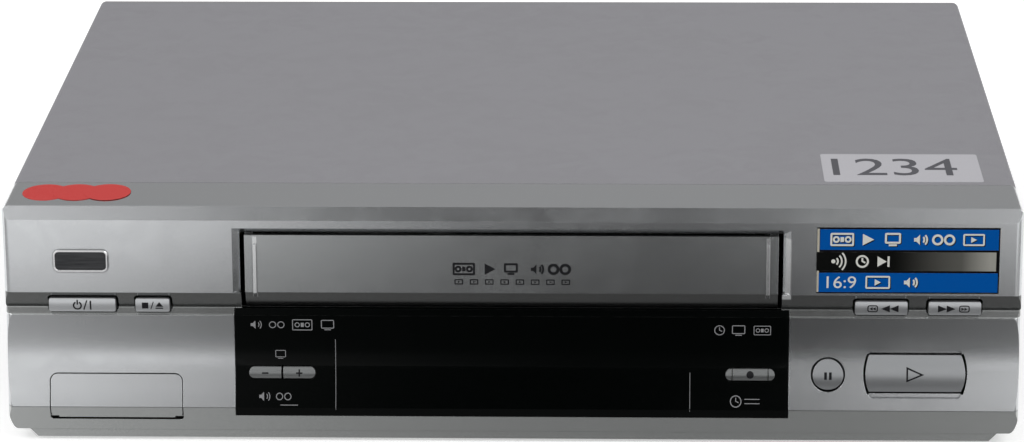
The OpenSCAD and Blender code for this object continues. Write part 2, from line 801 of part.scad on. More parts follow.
// Dark acrylic window, flush with the lower face, with holes for the small keys
module display_window() color([0.03, 0.03, 0.03]) in_case() {
    record_w = record_key_w + 2 * (record_end_gap + record_end_w) + 0.3;
    difference() {
        intersection() {
            along_x(window_w) face_layer(0, window_t);
            block([-far, -2 * bulge, window_low_z], [far, 1, slot_floor_z - window_gap / 3]);
        }
        translate([-channel_key_x, 0, small_key_z]) along_y(-2 * bulge, 0)
            capsule(2 * channel_key_w + channel_key_gap + 2 * key_gap, small_key_h + 2 * key_gap);
        translate([record_key_x, 0, small_key_z]) along_y(-2 * bulge, 0)
            capsule(record_w, small_key_h + 2 * key_gap);
    }
}

// ---- Keys ----

module key_stem(x, z, from) {
    half = 2;
    translate([x, 0, z]) block([-half, from, -half], [half, key_stem_y, half]);
}

// Long key with a crowned face, held behind the wall by a lip above and below
module bar_key(x, w) {
    wall_back = panel_t - groove_out;
    lip_front = wall_back + lip_gap + 0.1;
    lip_half = bar_key_h / 2 + 2 * cap_gap;
    translate([x, 0, bar_key_z]) {
        intersection() {
            along_y(-bar_key_out, wall_back + 1) bar_key_shape(w);
            translate([0, bar_crown_r - bar_key_out, 0]) rod_x(bar_crown_r, -w, w);
        }
        block([-w / 2, lip_front, -lip_half], [w / 2, lip_front + lip_t, lip_half]);
    }
    key_stem(x, bar_key_z, wall_back);
}

module power_key() color([0.78, 0.79, 0.8]) in_case() bar_key(power_key_x, power_key_w);
module stop_eject_key() color([0.78, 0.79, 0.8]) in_case() bar_key(stop_key_x, stop_key_w);
module rewind_key() color([0.78, 0.79, 0.8]) in_case() bar_key(rewind_key_x, wind_key_w);
module fast_forward_key() color([0.78, 0.79, 0.8]) in_case() bar_key(forward_key_x, wind_key_w);

// The rod whose front is the crown of the keys at a height, square to the hollow lower face
module face_crown(z, proud, crown_r) {
    lean = asin((scoop_z - z) / scoop_r);
    translate([0, face_y(z) - proud + crown_r * cos(lean), -crown_r * sin(lean)])
        rod_x(crown_r, -case_w, case_w);
}

// A key on the hollow lower face: crowned cap, lip behind the wall, stem
module face_key(x, z, proud, crown_r, wall, lip_w, lip_h) {
    lip_front = wall + lip_gap;
    translate([x, 0, z]) intersection() {
        along_x(4 * lip_w) translate([0, -z]) face_layer(-proud - 1, lip_front + lip_t);
        along_y(-2 * bulge, strip_depth / 2) children();
        face_crown(z, proud, crown_r);
    }
    translate([x, 0, z]) intersection() {
        along_x(4 * lip_w) translate([0, -z]) face_layer(lip_front, lip_front + lip_t);
        block([-lip_w / 2, -2 * bulge, -lip_h / 2], [lip_w / 2, strip_depth / 2, lip_h / 2]);
    }
    key_stem(x, z, face_y(z) + lip_front + lip_t / 2);
}

module pause_key() color([0.76, 0.77, 0.78]) in_case() {
    lip = 2 * pause_key_r + 3;
    face_key(pause_key_x, pause_key_z, key_proud, pause_crown_r, panel_t, lip, lip) circle(pause_key_r);
}

module play_key() color([0.76, 0.77, 0.78]) in_case()
    face_key(play_key_x, play_key_z, key_proud, play_crown_r, panel_t, play_key_w - 6, play_key_h + 4)
        play_key_shape();

// A key in the window
module window_key(x, lip_w)
    face_key(x, small_key_z, small_key_proud, small_crown_r, window_t, lip_w, small_key_h + 3) children();

module channel_key(side)
    window_key(-channel_key_x + side * channel_offset, channel_key_w - 4) channel_key_shape(side);

module channel_down_key() color([0.76, 0.77, 0.78]) in_case() channel_key(-1);
module channel_up_key() color([0.76, 0.77, 0.78]) in_case() channel_key(1);

module record_key() color([0.76, 0.77, 0.78]) in_case()
    window_key(record_key_x, record_key_w - 2) square([record_key_w, small_key_h], center = true);

// The fixed round ends beside the record key, joined by a bar behind the key
module record_ends() color([0.76, 0.77, 0.78]) in_case() {
    r = small_key_h / 2;
    inner = record_key_w / 2 + record_end_gap;
    seat = window_t + 0.1;
    back = window_t + 1.6;
    flange = 2;
    translate([record_key_x, 0, small_key_z]) for (s = [-1, 1]) scale_x(s) {
        intersection() {
            along_x(far) translate([0, -small_key_z]) face_layer(-small_key_proud - 1, back);
            along_y(-2 * bulge, strip_depth / 2) intersection() {
                translate([inner - r + record_end_w, 0]) circle(r);
                translate([inner, -far / 2]) square([far, far]);
            }
            face_crown(small_key_z, small_key_proud, small_crown_r);
        }
        intersection() {
            along_x(far) translate([0, -small_key_z]) face_layer(seat, back);
            block([inner, -2 * bulge, -r - flange],
                [inner + record_end_w + flange, strip_depth / 2, r + flange]);
        }
    }
}

// ---- Front boards ----

module display_board() color([0.2, 0.35, 0.15]) in_case()
    block([-window_w / 2 + 4, front_board_y, panel_floor_z],
        [window_w / 2 - 4, front_board_y + board_t, slot_floor_z - 0.5]);

module display_tube() color([0.1, 0.16, 0.15]) in_case() {
    tube_half = 56;
    tube_depth = 8;
    tube_low = 18;
    tube_high = 36;
    block([-tube_half, front_board_y - tube_depth, tube_low], [tube_half, front_board_y, tube_high]);
}

module key_boards() color([0.2, 0.35, 0.15]) in_case() {
    outer = case_w / 2 - side_board_inset;
    back = front_board_y + board_t;
    block([-outer, front_board_y, bar_key_z - 7], [-side_board_x, back, bar_key_z + 10]);
    block([side_board_x, front_board_y, pause_key_z - 8], [outer, back, bar_key_z + 10]);
}

module tact_switches() color([0.15, 0.15, 0.16]) in_case() {
    half = 3;
    button_r = 1.7;
    button_h = 0.9;
    for (p = key_places) translate([p[0], 0, p[1]]) {
        block([-half, switch_y + button_h, -half], [half, front_board_y, half]);
        rod_y(button_r, switch_y, switch_y + button_h + 0.1);
    }
}

// ---- Case ----

// Steel pan: floor with vents, side flanges, posts for the deck and the boards
module bottom_chassis() color([0.7, 0.7, 0.68]) in_case() {
    flange_h = 14;
    vent = [34, 3];
    vents_x = case_w / 2 - 50;
    vents_y = [for (i = [0:9]) 90 + 10 * i];
    deck_post_r = 4;
    deck_posts = [deck_half_w - 5, [deck_front + 6, deck_back - 6]];
    board_post_r = 3;
    board_posts_x = [board_inner_x + 8, chassis_half_w - 12];
    board_posts_y = [60, rear_y - 30];
    difference() {
        union() {
            block([-chassis_half_w, 0, 0], [chassis_half_w, rear_y, sheet_t]);
            for (s = [-1, 1]) scale_x(s)
                block([chassis_half_w - sheet_t, strip_depth + 1, 0],
                    [chassis_half_w, rear_y - rear_t - 0.5, flange_h]);
            // bar that the front panel rests on
            block([-chassis_half_w + 8, 2, sheet_t], [chassis_half_w - 8, 10, chamfer_z]);
            for (s = [-1, 1], y = deck_posts[1])
                translate([s * deck_posts[0], y, 0]) rod_z(deck_post_r, 0, deck_z);
            for (s = [-1, 1], x = board_posts_x, y = board_posts_y)
                translate([s * x, y, 0]) rod_z(board_post_r, 0, board_z);
        }
        for (s = [-1, 1], y = vents_y) translate([s * vents_x, y, 0])
            block([-vent.x / 2, -vent.y / 2, -1], [vent.x / 2, vent.y / 2, sheet_t + 1]);
        for (s = [-1, 1], y = side_screws_y) scale_x(s)
            translate([0, y, side_screw_z]) rod_x(screw_r + 0.3, chassis_half_w - 2, chassis_half_w + 1);
    }
}

// Folded steel cover: roof, two sides and a narrow lip at the rear
module top_cover() color([0.56, 0.55, 0.57]) in_case() {
    front = strip_depth + seam_gap;
    lip_h = 9;
    difference() {
        along_y(front, cover_back) difference() {
            arched_rect(case_w, cover_hem_z, body_h, edge_r);
            arched_rect(inner_w, -body_h, body_h - sheet_t, edge_r - sheet_t);
        }
        for (s = [-1, 1], y = side_screws_y) scale_x(s)
            translate([0, y, side_screw_z]) rod_x(screw_r + 0.1, case_w / 2 - 2, case_w / 2 + 1);
    }
    difference() {
        block([left_end + edge_r, cover_back - sheet_t, body_h - lip_h],
            [right_end - edge_r, cover_back, body_h - sheet_t / 2]);
        for (x = rear_screws_x) translate([x, 0, rear_screw_z])
            rod_y(screw_r + 0.1, cover_back - 2, cover_back + 1);
    }
}

module cover_screws() color([0.12, 0.12, 0.12]) in_case() {
    for (s = [-1, 1], y = side_screws_y) scale_x(s) translate([0, y, side_screw_z]) {
        rod_x(screw_r, chassis_half_w - 3, case_w / 2 + 0.5);
        rod_x(screw_head_r, case_w / 2, case_w / 2 + screw_head_h);
    }
    for (x = rear_screws_x) translate([x, 0, rear_screw_z]) {
        rod_y(screw_r, rear_y - 4, cover_back + 0.5);
        rod_y(screw_head_r, cover_back, cover_back + screw_head_h);
    }
}

// Rear panel with its cut-outs and vents
module rear_panel() color([0.5, 0.5, 0.5]) in_case() {
    gap = 0.3;
    in_y = rear_y - 5;
    out_y = rear_y + 1;
    vent = [2.4, 18];
    vents_x = [for (i = [0:11]) left_end + 110 + 6 * i];
    vent_z = 62;
    difference() {
        along_y(rear_y - rear_t, rear_y)
            arched_rect(inner_w - 2 * gap, sheet_t, body_h - sheet_t - gap, edge_r - sheet_t + gap);
        for (z = scart_z) translate([scart_x, 0, z]) along_y(in_y, out_y) scart_shape(gap);
        for (z = aerial_z) translate([tuner_x, 0, z]) rod_y(aerial_seat_r + gap, in_y, out_y);
        for (z = audio_out_z) translate([audio_out_x, 0, z]) rod_y(phono_r + 4 * gap, in_y, out_y);
        translate([mains_x, 0, mains_z]) along_y(in_y, out_y) inlet_shape(gap);
        for (x = vents_x) translate([x, 0, vent_z])
            block([-vent.x / 2, in_y, -vent.y / 2], [vent.x / 2, out_y, vent.y / 2]);
        for (x = rear_screws_x) translate([x, 0, rear_screw_z]) rod_y(screw_r + 0.1, in_y, out_y);
    }
}

module foot(sx, back) color([0.08, 0.08, 0.08]) in_case() {
    y = back ? cover_back - foot_inset_y : foot_inset_y;
    r = foot_d / 2;
    straight = 0.4 * foot_h;
    draft = 1.5;
    translate([sx * (case_w / 2 - foot_inset_x), y, 0])
        rotate_extrude() polygon([[0, 0], [r, 0], [r, -straight], [r - draft, -foot_h], [0, -foot_h]]);
}

module foot_front_left() foot(-1, false);
module foot_front_right() foot(1, false);
module foot_rear_left() foot(-1, true);
module foot_rear_right() foot(1, true);

// ---- Boards and sockets ----

// Board beside the deck, seen from the right; the left one is its mirror image
module side_board() block([board_inner_x, strip_depth + 8, board_z],
    [chassis_half_w - 4, rear_y - rear_t - 1, board_top]);

module main_board() color([0.18, 0.38, 0.16]) in_case() side_board();
module power_board() color([0.45, 0.33, 0.16]) in_case() scale_x(-1) side_board();

// Switch-mode transformer: ferrite core round a taped coil
module transformer() color([0.35, 0.32, 0.3]) in_case() translate([-board_inner_x - 34, 186, board_top]) {
    core = [34, 28, 30];
    leg = 5;
    coil_r = 10.5;
    tape_r = 11.8;
    tape_gap = 1;
    difference() {
        block([-core.x / 2, -core.y / 2, 0], [core.x / 2, core.y / 2, core.z]);
        block([leg - core.x / 2, -core.y, leg], [core.x / 2 - leg, core.y, core.z - leg]);
    }
    rod_z(coil_r, leg - 1, core.z - leg + 1);
    rod_z(tape_r, leg + tape_gap, core.z - leg - tape_gap);
}

// Electrolytic capacitors with a cross pressed into their tops
module capacitors() color([0.12, 0.12, 0.2]) in_case() {
    // place from the board's inner edge, distance from the front, radius, height
    sizes = [[40, 120, 11, 30], [18, 104, 5, 20], [18, 124, 6, 24], [20, 150, 5, 16], [36, 158, 4, 12]];
    groove_half = 0.3;
    groove_depth = 0.5;
    for (c = sizes) translate([-board_inner_x - c[0], c[1], board_top]) difference() {
        rod_z(c[2], 0, c[3]);
        for (a = [0, 90]) rotate(a)
            block([-0.7 * c[2], -groove_half, c[3] - groove_depth], [0.7 * c[2], groove_half, c[3] + 1]);
    }
}

// Upright plate with fins on its left side
module heat_sink() color([0.75, 0.75, 0.76]) in_case() translate([-board_inner_x - 12, 226, board_top]) {
    size = [10, 44, 38];
    plate_t = 2;
    fin_t = 1.6;
    fin_low = 4;
    fins = 7;
    pitch = (size.y - 2 - fin_t) / (fins - 1);
    block([-plate_t, -size.y / 2, 0], [0, size.y / 2, size.z]);
    for (i = [0:fins - 1]) translate([0, 1 - size.y / 2 + pitch * i, 0])
        block([-size.x, 0, fin_low], [-plate_t / 2, fin_t, size.z]);
}

// Tuner can with two coaxial aerial sockets through the rear panel: a wide one below, a slim one above
module tuner_module() color([0.75, 0.75, 0.74]) in_case() translate([tuner_x, 0, 0]) {
    can = [40, 20, 60];
    outer_r = [6.5, 5];
    bore_r = [4.8, 1.3];
    pin_r = 1.2;
    root_y = rear_y - 2;
    mouth_y = cover_back + socket_reach;
    block([-can.x / 2, rear_y - can.y, board_top], [can.x / 2, rear_y - rear_t, can.z]);
    for (i = [0, 1]) translate([0, 0, aerial_z[i]]) {
        difference() {
            union() {
                rod_y(aerial_seat_r, root_y, rear_y + 1);
                rod_y(outer_r[i], root_y, mouth_y);
            }
            rod_y(bore_r[i], rear_y + 1 + i, far);
        }
        if (i == 0) rod_y(pin_r, root_y, mouth_y - 1);
    }
}

// Front of the socket: an oblong with one corner cut off
module scart_shape(grow = 0) {
    w = scart_face.x + 2 * grow;
    h = scart_face.y + 2 * grow;
    notch = 5;
    polygon([
        [-w / 2, -h / 2], [w / 2, -h / 2], [w / 2, h / 2], [-w / 2 + notch, h / 2], [-w / 2, h / 2 - notch]
    ]);
}

// Twenty-one pole audio and video socket: shell, moat for the plug's screen, two rows of contacts
module scart_socket(z, seat_z) color([0.1, 0.1, 0.1]) in_case() translate([scart_x, 0, z]) {
    face = rear_y + 1.2;
    back = rear_y - 14;
    flange_half = scart_face.x / 2 + 2.5;
    moat_depth = 8;
    moat_in = [-2, -3.4];
    contact = [1.2, 6, 3];
    contact_pitch = 3.81;
    row_gap = 5.2;
    difference() {
        union() {
            along_y(back, face) scart_shape();
            block([-flange_half, back, seat_z - z], [flange_half, rear_y - rear_t, scart_half_h]);
        }
        along_y(face - moat_depth, face + 1) difference() {
            scart_shape(moat_in[0]);
            scart_shape(moat_in[1]);
        }
        for (i = [0:9], row = [-0.5, 0.5])
            translate([(i - 4.5 + row / 2) * contact_pitch, 0, row * row_gap])
                block([-contact.x / 2, face - contact.y, -contact.z / 2],
                    [contact.x / 2, face + 1, contact.z / 2]);
    }
}

module scart_socket_lower() scart_socket(scart_z[0], board_top);
module scart_socket_upper() scart_socket(scart_z[1], scart_z[0] + scart_half_h);

module audio_out_jacks() color([0.75, 0.15, 0.15]) in_case() translate([audio_out_x, 0, 0]) {
    reach = 6.5;
    housing = [14, 16];
    past = 9;  // housing beyond the outer jacks' middles
    bore_depth = 8;
    difference() {
        union() {
            block([-housing.x / 2, rear_y - housing.y, audio_out_z[0] - past],
                [housing.x / 2, rear_y - rear_t, audio_out_z[1] + past]);
            for (z = audio_out_z) translate([0, 0, z]) rod_y(phono_r, rear_y - 3, cover_back + reach);
        }
        for (z = audio_out_z) translate([0, 0, z]) rod_y(phono_bore_r, rear_y - bore_depth, far);
    }
}

// Two-pin mains inlet in the shape of a figure eight
module mains_inlet() color([0.08, 0.08, 0.08]) in_case() translate([mains_x, 0, mains_z]) {
    pin_x = 4.3;
    pin_r = 1.2;
    lobe_r = 4.3;
    cavity = 9;
    body = 16;
    lip = 0.8;
    flange = [14, 10, 7.5];
    difference() {
        union() {
            along_y(rear_y - body, rear_y + lip) inlet_shape();
            block([-flange.x, rear_y - flange.y, board_top - mains_z], [flange.x, rear_y - rear_t, flange.z]);
        }
        along_y(rear_y - cavity, rear_y + 2) {
            for (s = [-1, 1]) translate([s * pin_x, 0]) circle(lobe_r);
            square([2 * pin_x, 2 * lobe_r - eps], center = true);
        }
    }
    for (s = [-1, 1]) translate([s * pin_x, 0, 0]) rod_y(pin_r, rear_y - body - 2, rear_y - 1);
}

module inlet_shape(grow = 0) rounded_rect(20 + 2 * grow, 13 + 2 * grow, 3);

// ---- Deck ----

module notch_for_gears() translate([bracket_in - 4.5, gear_y - drive_r - 3])
    square([far, 2 * drive_r + pinion_r + motor_r + 9]);

module deck_plate() color([0.72, 0.72, 0.7]) in_case() {
    difference() {
        union() {
            translate([0, 0, deck_z]) linear_extrude(deck_t) difference() {
                translate([-deck_half_w, deck_front]) square([2 * deck_half_w, deck_back - deck_front]);
                notch_for_gears();
                for (s = [-1, 1])
                    slot([s * guide_start.x, guide_start.y], [s * guide_end.x, guide_end.y], guide_slot_r);
            }
            translate(capstan_pos) rod_z(capstan_boss_r, deck_z, deck_top + 5);
        }
        translate(capstan_pos) rod_z(capstan_r + running_fit, 0, body_h);
    }
    // pins for the reels, the clutch pulley and the pinch arm
    for (s = [-1, 1]) translate([s * reel_x, reel_y]) rod_z(deck_pin_r, deck_z, deck_top + 12);
    translate(clutch_pos) rod_z(deck_pin_r, flywheel_z, deck_z + eps);
    translate(pinch_pivot) rod_z(deck_pin_r, deck_z, deck_top + 14);
}

// Side plate of the carriage with the long slot for the slider's pins
module bracket_plate() {
    slot_r = guide_pin_r + pin_play;
    along_x(bracket_out - bracket_in, (bracket_in + bracket_out) / 2) difference() {
        translate([bracket_front, deck_top]) square([bracket_back - bracket_front, bracket_top_z - deck_top]);
        slot([slider_pins_y[0], slider_pin_z], [slider_pins_y[1] + draw_in, slider_pin_z], slot_r);
    }
}

// Flanges that stand the side plate on the deck, before and behind the motor
module bracket_feet() {
    foot_t = 1.2;
    front_foot = 46;
    rear_foot = 37;
    for (y = [[bracket_front, bracket_front + front_foot], [bracket_back - rear_foot, bracket_back]])
        block([bracket_out - eps, y[0], deck_top], [deck_half_w - 1, y[1], deck_top + foot_t]);
}

module carriage_bracket_left() color([0.78, 0.78, 0.76]) in_case() scale_x(-1) {
    bracket_plate();
    bracket_feet();
}

module carriage_bracket_right() color([0.78, 0.78, 0.76]) in_case() {
    tongue_low = gear_z - 6;
    tongue = [gear_y - 8, pinion_y + 6];
    difference() {
        union() {
            bracket_plate();
            block([bracket_in, tongue[0], tongue_low], [bracket_out, tongue[1], deck_top + 1]);
        }
        translate([0, gear_y, gear_z]) rod_x(gear_shaft_r + running_fit, bracket_in - 1, bracket_out + 1);
        translate([0, pinion_y, gear_z]) rod_x(motor_hub_r + 0.4, bracket_in - 1, bracket_out + 1);
    }
    bracket_feet();
}

// Slides the holder from the front to the rear; the holder's pins ride in its upright slots
module carriage_slider() color([0.82, 0.82, 0.8]) in_case() {
    low = rack_z + dedendum;
    bar = [holder_back - 26, holder_back - 12];
    for (s = [-1, 1]) scale_x(s) {
        along_x(carriage_t, slider_in + carriage_t / 2) difference() {
            translate([holder_front, low]) square([holder_len, slider_top_z - low]);
            for (y = holder_pins_y)
                slot([y, holder_pin_z - lift], [y, holder_pin_z], guide_pin_r + pin_play);
        }
        for (y = slider_pins_y) translate([0, y, slider_pin_z])
            rod_x(guide_pin_r, slider_out - eps, bracket_out + 1);
    }
    block([-slider_in - eps, bar[0], slider_bar_z], [slider_in + eps, bar[1], slider_bar_z + carriage_t]);
    along_x(gear_w, gear_x) rack_section();
}

// Rack under the right side plate, its teeth pointing down to the drive gear
module rack_section() {
    pitch = PI * gear_module;
    count = floor(holder_len / pitch / 2);
    half_root = pitch / 4 - backlash / 2 + dedendum * tan(pressure_angle);
    half_tip = pitch / 4 - backlash / 2 - addendum * tan(pressure_angle);
    middle = gear_y - round((gear_y - (holder_front + holder_back) / 2) / pitch) * pitch;
    rack_h = 2.4;
    translate([holder_front, rack_z + dedendum - eps]) square([holder_len, rack_h]);
    intersection() {
        union() {
            for (i = [-count:count]) translate([middle + i * pitch, rack_z]) polygon([
                [-half_root, dedendum], [-half_tip, -addendum], [half_tip, -addendum], [half_root, dedendum]
            ]);
        }
        translate([holder_front, 0]) square([holder_len, far]);
    }
}

// Involute gear outline with a tooth on the first axis
module gear_outline(teeth, bore_r) {
    pitch_r = gear_module * teeth / 2;
    base_r = pitch_r * cos(pressure_angle);
    root_r = pitch_r - dedendum;
    tip_r = pitch_r + addendum;
    steps = 5;
    start_r = max(base_r, root_r);
    function roll(r) = sqrt(r * r / (base_r * base_r) - 1) * 180 / PI;
    function spread(r) = roll(r) - atan(roll(r) * PI / 180);
    half_tooth = 90 / teeth - backlash / 4 / pitch_r * 180 / PI + spread(pitch_r);
    flank = [for (i = [0:steps])
        let (r = start_r + (tip_r - start_r) * i / steps, a = half_tooth - spread(r))
            [r * cos(a), r * sin(a)]];
    root = [root_r * cos(half_tooth), root_r * sin(half_tooth)];
    mirrored = [for (i = [steps:-1:0]) [flank[i].x, -flank[i].y]];
    tooth = concat([root], flank, mirrored, [[root.x, -root.y]]);
    difference() {
        polygon([for (t = [0:teeth - 1], p = tooth)
            let (a = -360 * t / teeth) [p.x * cos(a) - p.y * sin(a), p.x * sin(a) + p.y * cos(a)]]);
        if (bore_r > 0) circle(bore_r);
    }
}

module drive_gear() color([0.95, 0.93, 0.88]) in_case() {
    translate([0, gear_y, gear_z]) {
        along_x(gear_w, gear_x) rotate(180 / drive_teeth) gear_outline(drive_teeth, 0);
        rod_x(gear_shaft_r, gear_x, bracket_out + 1.5);
    }
}

module motor_pinion() color([0.95, 0.93, 0.88]) in_case() {
    translate([0, pinion_y, gear_z]) {
        along_x(gear_w, gear_x) rotate(180) gear_outline(pinion_teeth, 0);
        rod_x(motor_shaft_r, gear_x, bracket_out + 5);
    }
}

module loading_motor() color([0.7, 0.7, 0.72]) in_case() translate([0, pinion_y, gear_z]) difference() {
    rear = bracket_out + 24;
    union() {
        rod_x(motor_r, bracket_out, rear);
        rod_x(motor_hub_r, bracket_in, bracket_out + eps);
        rod_x(motor_hub_r, rear - eps, rear + 2);
    }
    rod_x(motor_shaft_r + running_fit, bracket_in - 1, bracket_out + 6);
}

// Open-bottomed frame that grips the cassette at both sides
module cassette_holder() color([0.86, 0.86, 0.84]) in_case() {
    floor_z = raised_z - carriage_t;
    roof_top = holder_roof_z + carriage_t;
    stop_w = 8;
    window_half = 50;
    window_y = [holder_front + 16, holder_back - 14];
    for (s = [-1, 1]) scale_x(s) {
        block([holder_in, holder_front, floor_z], [holder_out, holder_back, roof_top]);
        block([holder_out - holder_flange, holder_front, floor_z], [holder_in + eps, holder_back, raised_z]);
        // stop for the cassette's inner edge
        block([holder_in - stop_w, holder_back - carriage_t, raised_z - eps],
            [holder_in + eps, holder_back, holder_roof_z + eps]);
        for (y = holder_pins_y) translate([0, y, holder_pin_z])
            rod_x(guide_pin_r, holder_out - eps, slider_out + 0.8);
    }
    difference() {
        block([-holder_out + eps, holder_front, holder_roof_z], [holder_out - eps, holder_back, roof_top]);
        block([-window_half, window_y[0], 0], [window_half, window_y[1], far]);
    }
}

// ---- Tape path ----

// Tilts about the drum's middle at the height of the tape
module on_drum_axis() translate([0, drum_y, drum_mid_z]) rotate([-drum_tilt, 0, 0]) children();

module lower_drum() color([0.8, 0.8, 0.82]) in_case() {
    foot_in = 6;
    difference() {
        union() {
            on_drum_axis() rod_z(drum_d / 2, -drum_half_h, -0.3);
            translate([0, drum_y, 0]) rod_z(drum_d / 2 - foot_in, deck_top, drum_mid_z - 9);
        }
        on_drum_axis() rod_z(drum_shaft_r + running_fit, -body_h, body_h);
    }
}

// Spinning upper drum with windows for the video heads and the motor's rotor on top
module head_drum() color([0.88, 0.88, 0.9]) in_case() on_drum_axis() {
    rotor_in = 10;
    rotor_top = 18;
    shaft_end = -10;
    head_window = [3, 2.5, 4];
    centre_r = 2;
    difference() {
        union() {
            rod_z(drum_d / 2, 0, drum_half_h);
            rod_z(drum_d / 2 - rotor_in, drum_half_h - eps, rotor_top);
            rod_z(drum_shaft_r, shaft_end, eps);
        }
        for (a = [20:90:290]) rotate(a)
            block([drum_d / 2 - head_window.x, -head_window.y, -1], [drum_d, head_window.y, head_window.z]);
        rod_z(centre_r, rotor_top - 3, far);
    }
}

module full_erase_head() color([0.6, 0.6, 0.62]) in_case() translate([-54, drum_y - 28, deck_top]) {
    block([-5, -4, 0], [5, 4, 3]);
    block([-4, -3, 3 - eps], [4, 5, 26]);
}

module audio_control_head() color([0.6, 0.6, 0.62]) in_case() translate([48, drum_y - 31, deck_top]) {
    block([-3.5, -6, 0], [3.5, 8, 3]);
    block([-2, 4, 3 - eps], [2, 8, 16]);
    block([-3.5, -5, 8], [3.5, 4 + eps, 26]);
}

module capstan() color([0.8, 0.8, 0.82]) in_case() translate(capstan_pos) {
    rim = 3;
    hub_r = 5;
    rod_z(capstan_r, flywheel_z - 3, deck_top + 34);
    difference() {
        rod_z(flywheel_r, flywheel_z, flywheel_z + flywheel_h);
        rod_z(flywheel_r - rim, flywheel_z - 1, flywheel_z + rim);
    }
    rod_z(hub_r, flywheel_z, flywheel_z + flywheel_h);
}

module clutch_pulley() color([0.2, 0.2, 0.22]) in_case() translate(clutch_pos) difference() {
    rod_z(clutch_r, flywheel_z, flywheel_z + flywheel_h);
    rod_z(deck_pin_r + running_fit, 0, body_h);
}

// Flat belt round the capstan's flywheel and the clutch pulley
module drive_belt() color([0.06, 0.06, 0.06]) in_case() {
    d = capstan_pos - clutch_pos;
    near = clutch_r + belt_gap;
    big = flywheel_r + belt_gap;
    translate([clutch_pos.x, clutch_pos.y, flywheel_z + (flywheel_h - belt_w) / 2])
        rotate(atan2(d.y, d.x)) linear_extrude(belt_w) difference() {
            polygon(belt_line(norm(d), near + belt_t, big + belt_t));
            polygon(belt_line(norm(d), near, big));
        }
}

// Closed line round two circles on the first axis, the first at the origin
function belt_line(span, r_near, r_far) =
    let (lean = asin((r_far - r_near) / span), steps = 24)
    concat(
        [for (i = [0:steps]) let (a = 90 + lean + i * (180 - 2 * lean) / steps) r_near * [cos(a), sin(a)]],
        [for (i = [0:steps]) let (a = -90 - lean + i * (180 + 2 * lean) / steps)
            [span, 0] + r_far * [cos(a), sin(a)]]
    );

// Turntable under one of the cassette's reels, with a three-winged spindle
module reel(side) color([0.9, 0.9, 0.88]) in_case()
    translate([side * reel_x, reel_y, deck_top]) difference() {
        table = [19, 0.4, 3];  // radius, underside, upper side
        step = [9, 5.5];
        hub = [4, 15];
        wing = [6, 0.8, 14];
        bore_top = 13;
        union() {
            rod_z(table[0], table[1], table[2]);
            rod_z(step[0], table[2] - eps, step[1]);
            rod_z(hub[0], step[1] - eps, hub[1]);
            for (a = [0, 120, 240]) rotate(a) block([0, -wing.y, step[1] - 0.5], [wing.x, wing.y, wing.z]);
        }
        rod_z(deck_pin_r + running_fit, -1, bore_top);
    }

module supply_reel() reel(-1);
module takeup_reel() reel(1);

// Arm that swings the pinch roller against the capstan
module pinch_arm() color([0.75, 0.75, 0.77]) in_case() {
    arm_low = deck_top + 1;
    arm_t = 2;
    arm_half = 4;
    hub_r = 3.6;
    hub_top = deck_top + 13;
    difference() {
        union() {
            translate([0, 0, arm_low]) linear_extrude(arm_t) slot(pinch_pivot, pinch_pos, arm_half);
            translate(pinch_pivot) rod_z(hub_r, arm_low, hub_top);
            translate(pinch_pos) rod_z(pinch_pin_r, arm_low, pinch_roller_z[1] + 2);
        }
        translate(pinch_pivot) rod_z(deck_pin_r + running_fit, 0, body_h);
    }
}

module pinch_roller() color([0.1, 0.1, 0.1]) in_case() translate(pinch_pos) difference() {
    rod_z(pinch_roller_r, pinch_roller_z[0], pinch_roller_z[1]);
    rod_z(pinch_pin_r + running_fit, 0, body_h);
}

// Post that draws the tape round the drum, on a foot that slides in the deck's slot
module tape_guide(side) color([0.82, 0.82, 0.8]) in_case()
    translate([side * guide_start.x, guide_start.y, 0]) {
        base_r = 5;
        base_top = deck_top + 5;
        keeper_top = deck_z - 0.4;  // washer that holds the foot under the deck
        keeper_low = keeper_top - 1.2;
        post_r = 1.6;
        tape_z = [deck_top + 8, deck_top + 27];
        rod_z(base_r, deck_top + 0.3, base_top);
        rod_z(guide_slot_r - 0.3, keeper_top - 1, deck_top + 1);
        rod_z(guide_slot_r + 1.2, keeper_low, keeper_top);
        rod_z(post_r, base_top - 1, tape_z[1] + 4);
        rod_z(guide_r, tape_z[0], tape_z[1]);
        rod_z(guide_r + 1, tape_z[1] - eps, tape_z[1] + 2);
    }

module guide_supply() tape_guide(-1);
module guide_takeup() tape_guide(1);

// ---- The recorder ----

bottom_chassis();
rear_panel();
top_cover();
cover_screws();
front_panel();
foot_front_left();
foot_front_right();
foot_rear_left();
foot_rear_right();
display_window();
display_board();
display_tube();
key_boards();
tact_switches();
record_ends();
video_jack();
audio_jack_left();
audio_jack_right();
main_board();
power_board();
transformer();
capacitors();
heat_sink();
tuner_module();
scart_socket_upper();
scart_socket_lower();
audio_out_jacks();
mains_inlet();
deck_plate();
carriage_bracket_left();
carriage_bracket_right();
loading_motor();
lower_drum();
full_erase_head();
audio_control_head();
drive_belt();
cassette_door();
jack_door();
power_key();
stop_eject_key();
rewind_key();
fast_forward_key();
pause_key();
play_key();
channel_down_key();
channel_up_key();
record_key();
carriage_slider();
cassette_holder();
drive_gear();
motor_pinion();
head_drum();
capstan();
clutch_pulley();
supply_reel();
takeup_reel();
pinch_arm();
pinch_roller();
guide_supply();
guide_takeup();
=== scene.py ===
# %% [markdown]
# # Dressing a video cassette recorder
# The recorder's solids come ready made, all in one frame in metres: +X to the right seen from the
# front, -Y out of the front panel, +Z up, with the table at z = 0. This lesson gives them a camera,
# light and finishes, and adds what is printed or stuck on.

# %% Load the solids
import json
import math

import bmesh
import bpy
from mathutils import Matrix, Vector
from mathutils.bvhtree import BVHTree
from mathutils.geometry import tessellate_polygon

